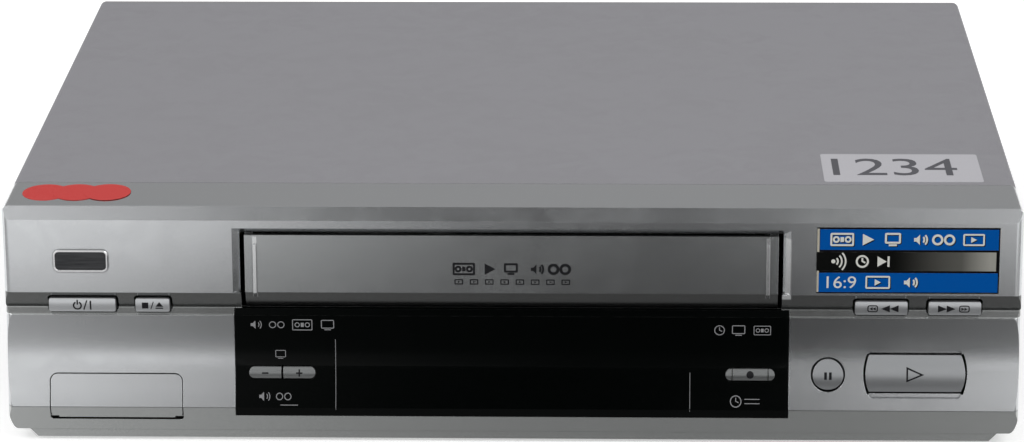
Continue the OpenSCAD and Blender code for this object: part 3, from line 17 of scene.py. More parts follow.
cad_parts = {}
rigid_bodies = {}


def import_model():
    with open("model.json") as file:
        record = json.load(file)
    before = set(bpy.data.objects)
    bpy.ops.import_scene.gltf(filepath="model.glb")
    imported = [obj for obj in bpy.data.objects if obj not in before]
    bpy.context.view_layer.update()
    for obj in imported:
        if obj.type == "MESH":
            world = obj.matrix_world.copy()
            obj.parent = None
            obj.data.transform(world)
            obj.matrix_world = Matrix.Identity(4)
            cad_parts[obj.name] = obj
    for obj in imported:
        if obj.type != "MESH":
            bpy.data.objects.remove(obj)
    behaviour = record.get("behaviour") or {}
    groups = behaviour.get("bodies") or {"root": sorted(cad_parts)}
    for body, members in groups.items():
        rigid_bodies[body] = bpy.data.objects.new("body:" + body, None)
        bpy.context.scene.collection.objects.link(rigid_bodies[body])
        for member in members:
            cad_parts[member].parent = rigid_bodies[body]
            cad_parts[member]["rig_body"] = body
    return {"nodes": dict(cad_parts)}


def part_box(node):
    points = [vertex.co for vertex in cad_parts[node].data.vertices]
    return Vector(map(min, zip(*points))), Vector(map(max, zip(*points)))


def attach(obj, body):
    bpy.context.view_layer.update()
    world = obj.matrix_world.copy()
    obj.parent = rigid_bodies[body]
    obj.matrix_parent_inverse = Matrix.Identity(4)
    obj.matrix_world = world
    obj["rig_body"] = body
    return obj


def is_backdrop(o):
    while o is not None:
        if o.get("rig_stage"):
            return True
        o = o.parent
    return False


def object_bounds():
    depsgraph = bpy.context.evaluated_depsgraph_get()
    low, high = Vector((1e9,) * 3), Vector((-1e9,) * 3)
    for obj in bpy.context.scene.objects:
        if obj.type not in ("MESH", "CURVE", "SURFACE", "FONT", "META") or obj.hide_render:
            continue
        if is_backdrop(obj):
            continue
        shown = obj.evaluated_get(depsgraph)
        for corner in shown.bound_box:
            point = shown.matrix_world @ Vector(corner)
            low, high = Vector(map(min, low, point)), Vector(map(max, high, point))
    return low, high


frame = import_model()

solids = frame["nodes"]
solid_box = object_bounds()
print(len(solids), "solids in a box of", [round(v, 4) for v in solid_box[1] - solid_box[0]], "m")

# %% [markdown]
# ## Places in millimetres
# A maker's drawing of a front panel is dimensioned in millimetres from its own edges. The same is
# done here: x across from the middle, y back from the panel's top front edge, z up from the table.
# One small function turns such a place into the frame's metres.

# %% Millimetres to metres
MM = 0.001
COVER_DEPTH = 276.0
EDGE_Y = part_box("top_cover")[1].y / MM - COVER_DEPTH


def at(x, y, z):
    """A place in millimetres, y counted back from the panel's top front edge, in metres."""
    return Vector((x, y + EDGE_Y, z)) * MM


print("the panel's top front edge is", round(EDGE_Y, 2), "mm from the middle of the recorder")

# %% [markdown]
# ## The camera
# The photograph was taken from a little above the recorder, with a long lens from about 1.4 m, so
# that its sides draw together only slightly. The camera could be aimed with a constraint, but three
# plain angles and a position say the same and stay readable.

# %% Aim the camera
CAMERA_PLACE = Vector((0.039424, -1.38766, 0.558344))
CAMERA_PITCH = 0.357835
CAMERA_YAW = -0.0311267
CAMERA_ROLL = -0.00725958
SENSOR_WIDTH = 36.0
FOCAL_LENGTH = 120.15
NEAREST_SEEN, FURTHEST_SEEN = 0.05, 60.0


def camera_axes(pitch, yaw, roll):
    """The camera's right, up and forward directions from its three angles."""
    forward = Vector((math.sin(yaw) * math.cos(pitch), math.cos(yaw) * math.cos(pitch), -math.sin(pitch)))
    level = Vector((math.cos(yaw), -math.sin(yaw), 0.0))
    upright = level.cross(forward)
    right = math.cos(roll) * level + math.sin(roll) * upright
    up = math.cos(roll) * upright - math.sin(roll) * level
    return right, up, forward


right, up, forward = camera_axes(CAMERA_PITCH, CAMERA_YAW, CAMERA_ROLL)
camera = bpy.data.objects.new("camera", bpy.data.cameras.new("camera"))
camera.data.sensor_width = SENSOR_WIDTH
camera.data.lens = FOCAL_LENGTH
camera.data.clip_start, camera.data.clip_end = NEAREST_SEEN, FURTHEST_SEEN
camera.matrix_world = Matrix.Translation(CAMERA_PLACE) @ Matrix((right, up, -forward)).transposed().to_4x4()
bpy.context.scene.collection.objects.link(camera)
bpy.context.scene.camera = camera
bpy.context.scene.view_settings.view_transform = "Standard"
print("camera", round((CAMERA_PLACE - at(0, 0, 96)).length, 3), "m from the panel's top edge")

# %% [markdown]
# ## Short words for shader nodes
# Every finish below is a small tree of shader nodes. Writing each node with its settings in one
# call, instead of four lines, keeps a finish short enough to read as a recipe.

# %% Node helpers
def put(tree, kind, inputs=None, **settings):
    """Adds one shader node, with its settings, and fills its sockets with values or links."""
    made = tree.nodes.new("ShaderNode" + kind)
    for name, value in settings.items():
        setattr(made, name, value)
    for name, value in (inputs or {}).items():
        if isinstance(value, bpy.types.NodeSocket):
            tree.links.new(value, made.inputs[name])
        else:
            made.inputs[name].default_value = value
    return made


def calculate(tree, operation, first, second=0.0, third=0.0):
    """One sum of a Math node, clamped nowhere; first to third are values or sockets."""
    return put(tree, "Math", {0: first, 1: second, 2: third}, operation=operation).outputs[0]


def here(tree):
    """Where the shaded point is, in the object's own coordinates."""
    return put(tree, "TexCoord").outputs["Object"]


def ramp(tree, value, low, high, start=0.0, end=1.0, kind="LINEAR"):
    """A value's run from low to high as a run from start to end, held at both ends."""
    inputs = {"Value": value, "From Min": low, "From Max": high, "To Min": start, "To Max": end}
    return put(tree, "MapRange", inputs, interpolation_type=kind).outputs[0]


def blend_colours(tree, share, first, second):
    """A mix of two colours by a share from 0 to 1; a colour is three numbers or a socket."""
    mix = put(tree, "Mix", data_type="RGBA")
    for socket, value in zip((mix.inputs[0], mix.inputs[6], mix.inputs[7]), (share, first, second)):
        if isinstance(value, bpy.types.NodeSocket):
            tree.links.new(value, socket)
        else:
            socket.default_value = (*value, 1.0) if isinstance(value, tuple) else value
    return mix.outputs[2]


def tone(red, green, blue):
    """A colour written as on a colour card, 0 to 255, in the renderer's linear values."""
    card = [v / 255.0 for v in (red, green, blue)]
    return tuple(v / 12.92 if v <= 0.04045 else ((v + 0.055) / 1.055) ** 2.4 for v in card)


def start_group(name, inputs, outputs):
    """A shader node group with named sockets: the tree, what comes in and what goes out."""
    tree = bpy.data.node_groups.new(name, "ShaderNodeTree")
    for label, kind, value in inputs:
        socket = tree.interface.new_socket(name=label, in_out="INPUT", socket_type=kind)
        socket.default_value = value
    for label, kind in outputs:
        tree.interface.new_socket(name=label, in_out="OUTPUT", socket_type=kind)
    return tree, tree.nodes.new("NodeGroupInput").outputs, tree.nodes.new("NodeGroupOutput").inputs


NUMBER, VECTOR = "NodeSocketFloat", "NodeSocketVector"
RAYS_PER_POINT = 6
print("a mid grey of 128 on the card is", round(tone(128, 128, 128)[0], 3), "to the renderer")

# %% [markdown]
# ## Effects that many finishes share
# Moulded skin, metal flakes and powder coat are all the same thing at other sizes: a fine random
# grain. It is built once as a group that gives a mask for the colour and a height for a bump. Object
# coordinates are used, so the grain keeps its size on every piece and moves with it.

# %% The grain group
grain_tree, grain_in, grain_out = start_group(
    "fine_grain",
    [("Grain size mm", NUMBER, 0.3), ("Softness", NUMBER, 0.5)],
    [("Mask", NUMBER), ("Height", NUMBER)],
)
per_metre = calculate(grain_tree, "DIVIDE", 1.0 / MM, grain_in["Grain size mm"])
speckle = put(grain_tree, "TexNoise", {"Vector": here(grain_tree), "Scale": per_metre, "Detail": 2.0,
                                       "Roughness": grain_in["Softness"]}).outputs["Fac"]
grain_tree.links.new(speckle, grain_out["Height"])
grain_tree.links.new(ramp(grain_tree, speckle, 0.32, 0.68), grain_out["Mask"])
print("group", grain_tree.name, "with", len(grain_tree.nodes), "nodes")

# %% [markdown]
# Handling leaves broad, faint patches on any housing: slightly duller where hands and cloths have
# been. Two noises of different sizes multiplied give patches that don't look like a pattern.

# %% The smudge group
smudge_tree, smudge_in, smudge_out = start_group(
    "hand_smudges", [("Patch size mm", NUMBER, 60.0), ("Amount", NUMBER, 0.5)], [("Mask", NUMBER)]
)
SMALLER_PATCHES = 3.7
broad = calculate(smudge_tree, "DIVIDE", 1.0 / MM, smudge_in["Patch size mm"])
fine = calculate(smudge_tree, "MULTIPLY", broad, SMALLER_PATCHES)
patches = [
    put(smudge_tree, "TexNoise", {"Vector": here(smudge_tree), "Scale": scale, "Detail": 4.0,
                                  "Roughness": 0.6, "Distortion": 0.6}).outputs["Fac"]
    for scale in (broad, fine)
]
both = calculate(smudge_tree, "MULTIPLY", *patches)
soft = ramp(smudge_tree, both, 0.16, 0.38, 0.0, smudge_in["Amount"], kind="SMOOTHSTEP")
smudge_tree.links.new(soft, smudge_out["Mask"])
print("group", smudge_tree.name, "with", len(smudge_tree.nodes), "nodes")

# %% [markdown]
# No moulded or bent edge is truly sharp, and paint thins first along it. The Bevel node bends the
# normal near an edge, which gives the fine light line every real edge has, and the difference
# between the bent and the true normal is a ready mask for wear.

# %% The edge group
edge_tree, edge_in, edge_out = start_group(
    "soft_edges",
    [("Radius mm", NUMBER, 0.3), ("Wear", NUMBER, 0.5)],
    [("Normal", VECTOR), ("Mask", NUMBER)],
)
radius = calculate(edge_tree, "MULTIPLY", edge_in["Radius mm"], MM)
bent = put(edge_tree, "Bevel", {"Radius": radius}, samples=RAYS_PER_POINT)
true = put(edge_tree, "NewGeometry")
agree = put(edge_tree, "VectorMath", {0: bent.outputs[0], 1: true.outputs["Normal"]}, operation="DOT_PRODUCT")
away = calculate(edge_tree, "SUBTRACT", 1.0, agree.outputs["Value"])
broken = put(edge_tree, "TexNoise", {"Vector": here(edge_tree), "Scale": 420.0, "Detail": 3.0}).outputs["Fac"]
near = ramp(edge_tree, away, 0.02, 0.25)
worn = calculate(edge_tree, "MULTIPLY", near, ramp(edge_tree, broken, 0.38, 0.62))
edge_tree.links.new(calculate(edge_tree, "MULTIPLY", worn, edge_in["Wear"]), edge_out["Mask"])
edge_tree.links.new(bent.outputs[0], edge_out["Normal"])
print("group", edge_tree.name, "with", len(edge_tree.nodes), "nodes")

# %% [markdown]
# Rolled or ground metal carries fine parallel lines. Noise stretched along one direction makes
# them; the stretch is an input, so each material says which way its lines run.

# %% The drawn lines group
line_tree, line_in, line_out = start_group(
    "drawn_lines", [("Stretch", VECTOR, (1.0, 30.0, 30.0)), ("Scale", NUMBER, 60.0)], [("Mask", NUMBER)]
)
stretched = put(line_tree, "VectorMath", {0: here(line_tree), 1: line_in["Stretch"]}, operation="MULTIPLY")
streaks = put(line_tree, "TexNoise", {"Vector": stretched.outputs[0], "Scale": line_in["Scale"],
                                      "Detail": 5.0, "Roughness": 0.7}).outputs["Fac"]
line_tree.links.new(ramp(line_tree, streaks, 0.3, 0.7), line_out["Mask"])
print("group", line_tree.name, "with", len(line_tree.nodes), "nodes")

# %% [markdown]
# A narrow gap between parts looks nearly black, because little light gets in. That shade is painted
# into the colour here: the Ambient Occlusion node measures how closed in a point is, and one group
# turns that into a mask of painted shade for a gap of a given width.

# %% The painted gap shade group
gap_shade_tree, gap_in, gap_out = start_group(
    "painted_gap_shade", [("Reach mm", NUMBER, 1.5), ("Strength", NUMBER, 1.0)], [("Mask", NUMBER)]
)
reach = calculate(gap_shade_tree, "MULTIPLY", gap_in["Reach mm"], MM)
openness = put(gap_shade_tree, "AmbientOcclusion", {"Distance": reach}, samples=RAYS_PER_POINT).outputs["AO"]
closed_in = ramp(gap_shade_tree, openness, 0.35, 0.75, 1.0, 0.0)
gap_shade_tree.links.new(calculate(gap_shade_tree, "MULTIPLY", closed_in, gap_in["Strength"]), gap_out["Mask"])
print("group", gap_shade_tree.name, "with", len(gap_shade_tree.nodes), "nodes")

# %% [markdown]
# ## One recipe for every finish
# A finish starts from a colour, a roughness and how metallic it is. Grain, smudges and worn edges
# come on top, each with its own strength, and a last step may add a pattern of its own. The shader
# itself stays in each material, so that its sockets can be seen and changed there.

# %% The finish recipe
def shared(tree, group, **values):
    """Places a group in a material, with its values."""
    made = put(tree, "Group", node_tree=group)
    for name, value in values.items():
        made.inputs[name.replace("_", " ")].default_value = value
    return made.outputs


BLACK, WHITE = (0.0, 0.0, 0.0), (1.0, 1.0, 1.0)
DUST = (0.16, 0.155, 0.15)
RUBBED = (0.9, 0.9, 0.9)
GAP_SHADE = (0.008, 0.008, 0.008)
RUBBED_SHARE, SMUDGE_DULLS, GRAIN_DULLS, COAT_ROUGHNESS = 0.35, 1.5, 0.05, 0.12


def finish(name, colour, roughness, metallic=0.0, grain=(0.35, 0.10), bump_mm=0.01, smudge=0.10,
           edge=(0.25, 0.3), coat=0.0, pattern=None, pattern_depth=0.0, specular=0.5, shade_gaps=False):
    """A finished material: grain is (size in mm, colour change), edge is (radius in mm, wear)."""
    material = bpy.data.materials.new(name)
    material.use_nodes = True
    tree = material.node_tree
    shader = tree.nodes["Principled BSDF"]
    grains = shared(tree, grain_tree, Grain_size_mm=grain[0])
    smudges = shared(tree, smudge_tree)
    edges = shared(tree, edge_tree, Radius_mm=edge[0], Wear=edge[1])
    plain = colour
    height = grains["Height"]
    if pattern:
        plain, extra = pattern(tree, colour)
        height = calculate(tree, "MULTIPLY_ADD", extra, pattern_depth, height)
    deeper, lighter = (blend_colours(tree, grain[1], plain, end) for end in (BLACK, WHITE))
    speckled = blend_colours(tree, grains["Mask"], deeper, lighter)
    handled = blend_colours(tree, calculate(tree, "MULTIPLY", smudges["Mask"], smudge), speckled, DUST)
    worn = blend_colours(tree, edges["Mask"], handled, blend_colours(tree, RUBBED_SHARE, plain, RUBBED))
    # Painted shade: where the surface is closed in, its colour is darkened towards near black.
    if shade_gaps:
        worn = blend_colours(tree, shared(tree, gap_shade_tree)["Mask"], worn, GAP_SHADE)
    tree.links.new(worn, shader.inputs["Base Color"])
    rougher = calculate(tree, "MULTIPLY_ADD", smudges["Mask"], SMUDGE_DULLS * smudge, roughness)
    rougher = calculate(tree, "MULTIPLY_ADD", grains["Mask"], GRAIN_DULLS, rougher)
    tree.links.new(rougher, shader.inputs["Roughness"])
    bump = put(tree, "Bump", {"Distance": bump_mm * MM, "Strength": 1.0, "Height": height,
                              "Normal": edges["Normal"]})
    tree.links.new(bump.outputs["Normal"], shader.inputs["Normal"])
    shader.inputs["Metallic"].default_value = metallic
    shader.inputs["Specular IOR Level"].default_value = specular
    if coat:
        shader.inputs["Coat Weight"].default_value = coat
        shader.inputs["Coat Roughness"].default_value = COAT_ROUGHNESS
    return material


def dress(names, *recipe, **settings):
    """Makes a finish and gives it to the solids of these names."""
    material = finish(*recipe, **settings)
    for name in names.split():
        for slot in solids[name].material_slots:
            slot.material = material


print("one recipe, five shared effects")

# %% [markdown]
# ## The front: pearl silver
# The panel, its little jack door and the cassette door are moulded plastic under a metallic paint:
# fine aluminium flakes in clear lacquer. Such paint is neither plain grey nor a mirror. A mostly
# metallic shader with some roughness mirrors the room softly, light at both ends of the panel and
# dark in the middle, and the grain gives the flakes. The cassette door is a slightly deeper tone.

# %% Silver finishes
PANEL_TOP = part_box("front_panel")[1].z / MM
GROOVE_TOP, GROOVE_LOW, LIP_LOW, LOW_EDGE = (PANEL_TOP - down for down in (34.6, 41.0, 43.9, 80.7))
# Painted shade and highlight on the panel and doors by height, as (from, to, value): the groove and the lip
# below it darkened, thin lighter lines at their lower edges as painted highlights, the foot below the low
# edge darkened, and a dark line along the low edge.
PAINTED_SHADES = [(GROOVE_LOW, GROOVE_TOP, 0.12), (LIP_LOW, GROOVE_LOW, 0.22), (GROOVE_LOW - 0.3, GROOVE_LOW, 0.70),
          (LIP_LOW - 0.2, LIP_LOW + 0.2, 0.80), (LOW_EDGE - 40.0, LOW_EDGE - 0.15, 0.54),
          (LOW_EDGE - 0.15, LOW_EDGE + 0.15, 0.2)]
# Across: the right jamb of the door's opening and the door's ridges get a painted highlight.
JAMB = (106.2, 109.8)
RIDGES = (99.9, 101.5)


def between(tree, value, low, high, soft=0.15):
    """A mask that is 1 between two values and 0 outside, with soft ends."""
    up, down = (ramp(tree, value, end - soft, end + soft) for end in (low, high))
    return calculate(tree, "SUBTRACT", up, down)


def painted_shade_by_height(tree, colour):
    """Painted shade and highlight by height: a darker groove, lip and foot, thin lighter lines, a dark low
    edge line, lighter jamb and ridges.
    """
    place = put(tree, "SeparateXYZ", {"Vector": here(tree)}).outputs
    x, z = (calculate(tree, "DIVIDE", place[axis], MM) for axis in "XZ")
    shaded = colour
    for low, high, value in PAINTED_SHADES:
        shaded = blend_colours(tree, between(tree, z, low, high), shaded, (0.97 * value, value, 0.99 * value))
    upper = between(tree, z, GROOVE_TOP - 2.0, PANEL_TOP - 12.0, 0.4)
    jamb = calculate(tree, "MULTIPLY", between(tree, x, *JAMB), upper)
    ridges = calculate(tree, "MULTIPLY", between(tree, calculate(tree, "ABSOLUTE", x), *RIDGES), upper)
    painted_highlight = calculate(tree, "MAXIMUM", jamb, ridges)
    return blend_colours(tree, painted_highlight, shaded, (0.95, 0.96, 0.97)), painted_highlight


# The panel and both doors carry the painted shade and highlight by height. They and the keys also carry
# painted shade where they are closed in.
PANEL_PAINT = {"bump_mm": 0.005, "smudge": 0.05, "pattern": painted_shade_by_height, "shade_gaps": True}
KEY_PAINT = {"metallic": 0.88, "grain": (0.2, 0.02), "bump_mm": 0.0, "smudge": 0.0, "edge": (0.15, 0.0),
             "shade_gaps": True}
dress("front_panel jack_door", "pearl_silver_paint", (0.62, 0.635, 0.65), 0.14,
      metallic=0.97, grain=(0.28, 0.10), **PANEL_PAINT)
dress("cassette_door", "door_silver_paint", (0.50, 0.515, 0.522), 0.16,
      metallic=0.96, grain=(0.26, 0.10), **PANEL_PAINT)
dress("power_key stop_eject_key rewind_key fast_forward_key", "key_silver_paint", (0.60, 0.615, 0.63),
      0.3, **KEY_PAINT)
dress("pause_key play_key", "play_key_silver_paint", (0.43, 0.442, 0.455), 0.3, **KEY_PAINT)
dress("channel_down_key channel_up_key record_key record_ends", "window_key_silver_paint",
      (0.27, 0.28, 0.28), 0.3, **KEY_PAINT)
print("the panel, both doors and the keys are silver")

# %% [markdown]
# ## The steel cover and the sheet metal
# The cover is pressed steel with a fine powder coat: dull, with a skin of tiny hills. Chassis, rear
# panel and the deck's plates are zinc coated steel, whose crystals make a faint patchwork. A Voronoi
# texture draws such a patchwork directly, and only its colour changes, not its height.

# %% Sheet finishes
def zinc_crystals(tree, colour):
    """The patchwork of crystals on zinc coated sheet."""
    cells = put(tree, "TexVoronoi", {"Vector": here(tree), "Scale": 160.0, "Randomness": 1.0})
    shade = put(tree, "SeparateColor", {"Color": cells.outputs["Color"]}).outputs[0]
    share = calculate(tree, "MULTIPLY", shade, 0.22)
    return blend_colours(tree, share, colour, (0.30, 0.31, 0.33)), shade


def rolled_lines(tree, colour):
    """Fine lines of rolled or ground metal, running across."""
    lines = shared(tree, line_tree, Stretch=(1.0, 26.0, 26.0), Scale=55.0)["Mask"]
    share = calculate(tree, "MULTIPLY", lines, 0.16)
    return blend_colours(tree, share, colour, (0.25, 0.25, 0.26)), lines


dress("top_cover", "cover_powder_coat", tone(143, 142, 147), 0.52,
      metallic=0.15, grain=(0.5, 0.035), bump_mm=0.03, smudge=0.14, edge=(0.5, 0.2))
dress("bottom_chassis rear_panel deck_plate carriage_bracket_left carriage_bracket_right carriage_slider"
      " cassette_holder", "zinc_coated_steel", (0.56, 0.57, 0.57), 0.36,
      metallic=0.9, grain=(0.4, 0.03), bump_mm=0.004, pattern=zinc_crystals, edge=(0.15, 0.1))
dress("tuner_module", "tin_plate", (0.62, 0.62, 0.61), 0.30,
      metallic=0.95, grain=(0.5, 0.03), bump_mm=0.004, pattern=rolled_lines, pattern_depth=0.3)
dress("loading_motor full_erase_head audio_control_head capstan pinch_arm guide_supply guide_takeup",
      "ground_steel", (0.55, 0.55, 0.56), 0.26,
      metallic=1.0, grain=(0.3, 0.03), bump_mm=0.003, pattern=rolled_lines, pattern_depth=0.3)
dress("cover_screws", "blackened_steel", (0.03, 0.03, 0.032), 0.38,
      metallic=0.7, grain=(0.2, 0.012), bump_mm=0.004, edge=(0.15, 0.6))
print("sheet metal and steel dressed")

# %% [markdown]
# ## Plastics, rubber and glass
# The display window is smoked acrylic: nearly black and polished. Sockets, switches and the clutch
# are black plastic with a fine spark eroded skin, and the gears and reels are whitish acetal. Feet,
# belt and pinch roller are rubber, dull and slightly dusty.

# %% Plastic and rubber finishes
dress("display_window", "smoked_acrylic", (0.0008, 0.0012, 0.0011), 0.07,
      grain=(1.2, 0.0), bump_mm=0.0006, smudge=0.002, edge=(0.2, 0.1), specular=0.1)
dress("scart_socket_upper scart_socket_lower mains_inlet clutch_pulley tact_switches",
      "black_moulded_plastic", (0.022, 0.022, 0.024), 0.46,
      grain=(0.3, 0.012), bump_mm=0.02, edge=(0.2, 0.25))
dress("foot_front_left foot_front_right foot_rear_left foot_rear_right drive_belt pinch_roller",
      "black_rubber", (0.024, 0.023, 0.022), 0.72,
      grain=(0.5, 0.012), bump_mm=0.02, smudge=0.3, edge=(0.4, 0.2))
dress("drive_gear motor_pinion supply_reel takeup_reel", "white_acetal", (0.80, 0.78, 0.72), 0.36,
      grain=(0.5, 0.02), bump_mm=0.004, edge=(0.15, 0.1), coat=0.2)
dress("capacitors", "capacitor_sleeve", (0.02, 0.03, 0.10), 0.28,
      grain=(0.4, 0.03), bump_mm=0.004, coat=0.3)
for sockets, colour, shade, change in (("video_jack", "yellow", (0.80, 0.58, 0.03), 0.03),
                                       ("audio_jack_left", "white", (0.78, 0.78, 0.75), 0.02),
                                       ("audio_jack_right audio_out_jacks", "red", (0.58, 0.03, 0.03), 0.03)):
    dress(sockets, f"{colour}_socket_plastic", shade, 0.38, grain=(0.25, change), bump_mm=0.004)
print("plastics and rubber dressed")

# %% [markdown]
# ## Circuit boards, winding, drum and display tube
# A board is laminate under green lacquer, with copper tracks showing through as lighter lines. A
# brick texture with thin mortar gives right-angled tracks without drawing each one. The winding is
# tape over wire, so its rings are a wave texture. The drums are turned aluminium, with rings round
# their own tilted axis, which needs the texture moved to that axis first.

# %% Boards, winding, drum and tube
def board_tracks(tree, colour):
    """Copper tracks under lacquer, as thin right-angled lines."""
    bricks = put(tree, "TexBrick", {"Vector": here(tree), "Scale": 90.0, "Mortar Size": 0.06,
                                    "Color1": (0, 0, 0, 1), "Color2": (0.25, 0.25, 0.25, 1),
                                    "Mortar": (1, 1, 1, 1)})
    lines = put(tree, "SeparateColor", {"Color": bricks.outputs["Color"]}).outputs[0]
    lighter = blend_colours(tree, 0.35, colour, (0.55, 0.60, 0.25))
    return blend_colours(tree, lines, colour, lighter), lines


def wound_rings(tree, colour):
    """The ridges of wire under winding tape."""
    wave = put(tree, "TexWave", {"Vector": here(tree), "Scale": 500.0, "Distortion": 0.6, "Detail": 1.0},
               bands_direction="Z").outputs["Fac"]
    share = calculate(tree, "MULTIPLY", wave, 0.45)
    return blend_colours(tree, share, colour, (0.08, 0.05, 0.02)), wave


DRUM_TILT = math.radians(6.0)
drum_centre = sum(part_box("head_drum"), Vector()) / 2


def turned_rings(tree, colour):
    """Fine rings left by a lathe, round the drum's tilted axis."""
    settled = put(tree, "Mapping", {"Vector": here(tree), "Location": tuple(-drum_centre)})
    upright = put(tree, "Mapping", {"Vector": settled.outputs[0], "Rotation": (DRUM_TILT, 0.0, 0.0)})
    rings = put(tree, "TexWave", {"Vector": upright.outputs[0], "Scale": 700.0, "Distortion": 0.4},
                wave_type="RINGS", rings_direction="Z").outputs["Fac"]
    share = calculate(tree, "MULTIPLY", rings, 0.18)
    return blend_colours(tree, share, colour, (0.35, 0.35, 0.36)), rings


dress("display_board key_boards main_board", "green_board", (0.03, 0.16, 0.045), 0.34,
      grain=(0.6, 0.03), pattern=board_tracks, pattern_depth=0.5, coat=0.2)
dress("power_board", "brown_board", (0.30, 0.19, 0.08), 0.5,
      grain=(0.5, 0.06), pattern=board_tracks, pattern_depth=0.5)
dress("transformer", "taped_winding", (0.36, 0.25, 0.06), 0.5,
      grain=(0.4, 0.05), pattern=wound_rings, pattern_depth=4.0, bump_mm=0.02)
dress("head_drum lower_drum", "turned_aluminium", (0.72, 0.72, 0.73), 0.22,
      metallic=1.0, grain=(0.3, 0.02), bump_mm=0.003, pattern=turned_rings, pattern_depth=0.5)
dress("heat_sink", "sawn_aluminium", (0.66, 0.66, 0.67), 0.32,
      metallic=1.0, grain=(0.3, 0.02), bump_mm=0.004, pattern=rolled_lines, pattern_depth=0.4)
dress("display_tube", "smoked_tube_glass", (0.012, 0.03, 0.026), 0.06,
      grain=(1.0, 0.0), bump_mm=0.0004, coat=0.5)
bare = [name for name, solid in solids.items() if not all(s.material.use_nodes for s in solid.material_slots)]
print("solids left without a finish:", bare)

# %% [markdown]
# ## Laying prints on the solids
# Symbols, stickers and labels are thin layers that lie on a curved face. They are drawn flat, in
# millimetres as seen from the front or from above, cut into triangles, and each corner is then sent
# onto the solid with a ray, so the print follows the face whatever its curve. A layer has a real
# thickness, as pad printing and film have, which keeps it from flickering into the face below.

# %% Ray casting and layers
finders = {}


def finder(name):
    """A search tree over one solid's faces, made once."""
    if name not in finders:
        mesh = solids[name].data
        faces = [tuple(p.vertices) for p in mesh.polygons]
        finders[name] = BVHTree.FromPolygons([v.co for v in mesh.vertices], faces)
    return finders[name]


RAY_START = 0.4
SIDES = {
    "front": (lambda u, v: Vector((u * MM, -RAY_START, v * MM)), Vector((0, 1, 0))),
    "top": (lambda u, v: at(u, v, 0) + Vector((0, 0, RAY_START)), Vector((0, 0, -1))),
}


def land(name, side, u, v):
    """Where a point drawn on one side meets a solid, and the direction out of its face there."""
    start, way = SIDES[side]
    spot, normal, _, _ = finder(name).ray_cast(start(u, v), way)
    if spot is None:
        raise ValueError(f"nothing of {name} behind {side} point {u:.1f}, {v:.1f}")
    return spot, normal if normal.dot(way) < 0 else -normal


def piece_from(name, corners, faces, material, body):
    """A new piece from corners and flat faces, riding on a body."""
    mesh = bpy.data.meshes.new(name)
    mesh.from_pydata(corners, [], faces)
    work = bmesh.new()
    work.from_mesh(mesh)
    bmesh.ops.recalc_face_normals(work, faces=work.faces)
    for face in work.faces:
        face.smooth = False
    work.to_mesh(mesh)
    work.free()
    mesh.materials.append(material)
    piece = bpy.data.objects.new(name, mesh)
    bpy.context.scene.collection.objects.link(piece)
    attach(piece, body)
    return piece


def layer(name, flat, onto, material, side="front", lift=0.0, thick=0.04, sink=0.03):
    """Lays flat triangles on a solid as one thin closed layer; flat is (points, faces) in mm."""
    points, faces = flat
    landed = [land(onto, side, u, v) for u, v in points]
    low = [spot + out * (lift - sink) * MM for spot, out in landed]
    high = [spot + out * (lift + thick) * MM for spot, out in landed]
    count = len(points)
    uses = {}
    for face in faces:
        for a, b in zip(face, face[1:] + face[:1]):
            uses[(a, b)] = uses.get((a, b), 0) + 1
    rim = [(a, b) for a, b in uses if (b, a) not in uses]
    closed = [tuple(reversed(f)) for f in faces] + [tuple(i + count for i in f) for f in faces]
    closed += [(a, b, b + count, a + count) for a, b in rim]
    return piece_from(name, low + high, closed, material, solids[onto]["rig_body"])


print("prints can be laid on the", ", ".join(SIDES), "of any solid")

# %% [markdown]
# ## Drawing the symbols
# Front panels use a small family of signs: bars, triangles, rings, arcs and rounded frames. Each is
# a closed line, or two where it has a hole, and bigger signs are lists of them. Long edges get extra
# points, so that a sign can bend over a domed key.

# %% Flat shapes
STEP = 0.7


def refined(loop, step=STEP):
    """A closed line with extra points, none further apart than the step."""
    fine = []
    for (x0, y0), (x1, y1) in zip(loop, loop[1:] + loop[:1]):
        parts = max(1, math.ceil(math.dist((x0, y0), (x1, y1)) / step))
        fine += [(x0 + (x1 - x0) * i / parts, y0 + (y1 - y0) * i / parts) for i in range(parts)]
    return fine


def cut_flat(shapes, step=STEP):
    """Triangles of several shapes; each shape is a list of closed lines, the first its outline."""
    points, faces = [], []
    for shape in shapes:
        loops = [refined(loop, step) for loop in shape]
        start = len(points)
        for triangle in tessellate_polygon([[Vector((x, y, 0.0)) for x, y in loop] for loop in loops]):
            a, b, c = triangle
            faces.append((start + a, start + b, start + c))
        points += [p for loop in loops for p in loop]
    turned = []
    for a, b, c in faces:
        (ax, ay), (bx, by), (cx, cy) = points[a], points[b], points[c]
        area = (bx - ax) * (cy - ay) - (cx - ax) * (by - ay)
        turned.append((a, b, c) if area > 0 else (a, c, b))
    return points, turned


def arc(cx, cy, r, start, end, count=24):
    """Points along an arc, angles in degrees."""
    angles = [math.radians(start + (end - start) * i / count) for i in range(count + 1)]
    return [(cx + r * math.cos(a), cy + r * math.sin(a)) for a in angles]


def disc(cx, cy, r, count=36):
    """A filled circle."""
    return [arc(cx, cy, r, 0, 360, count)[:-1]]


def ring(cx, cy, r, width, count=36):
    """A circle drawn with a line of some width."""
    return disc(cx, cy, r + width / 2, count) + disc(cx, cy, r - width / 2, count)


def band(cx, cy, r, width, start, end):
    """A part of such a circle, from one angle to another."""
    return [arc(cx, cy, r + width / 2, start, end) + arc(cx, cy, r - width / 2, end, start)]


def bar(cx, cy, wide, high):
    """A filled upright rectangle."""
    return [[(cx + i * wide / 2, cy + j * high / 2) for i, j in ((-1, -1), (1, -1), (1, 1), (-1, 1))]]


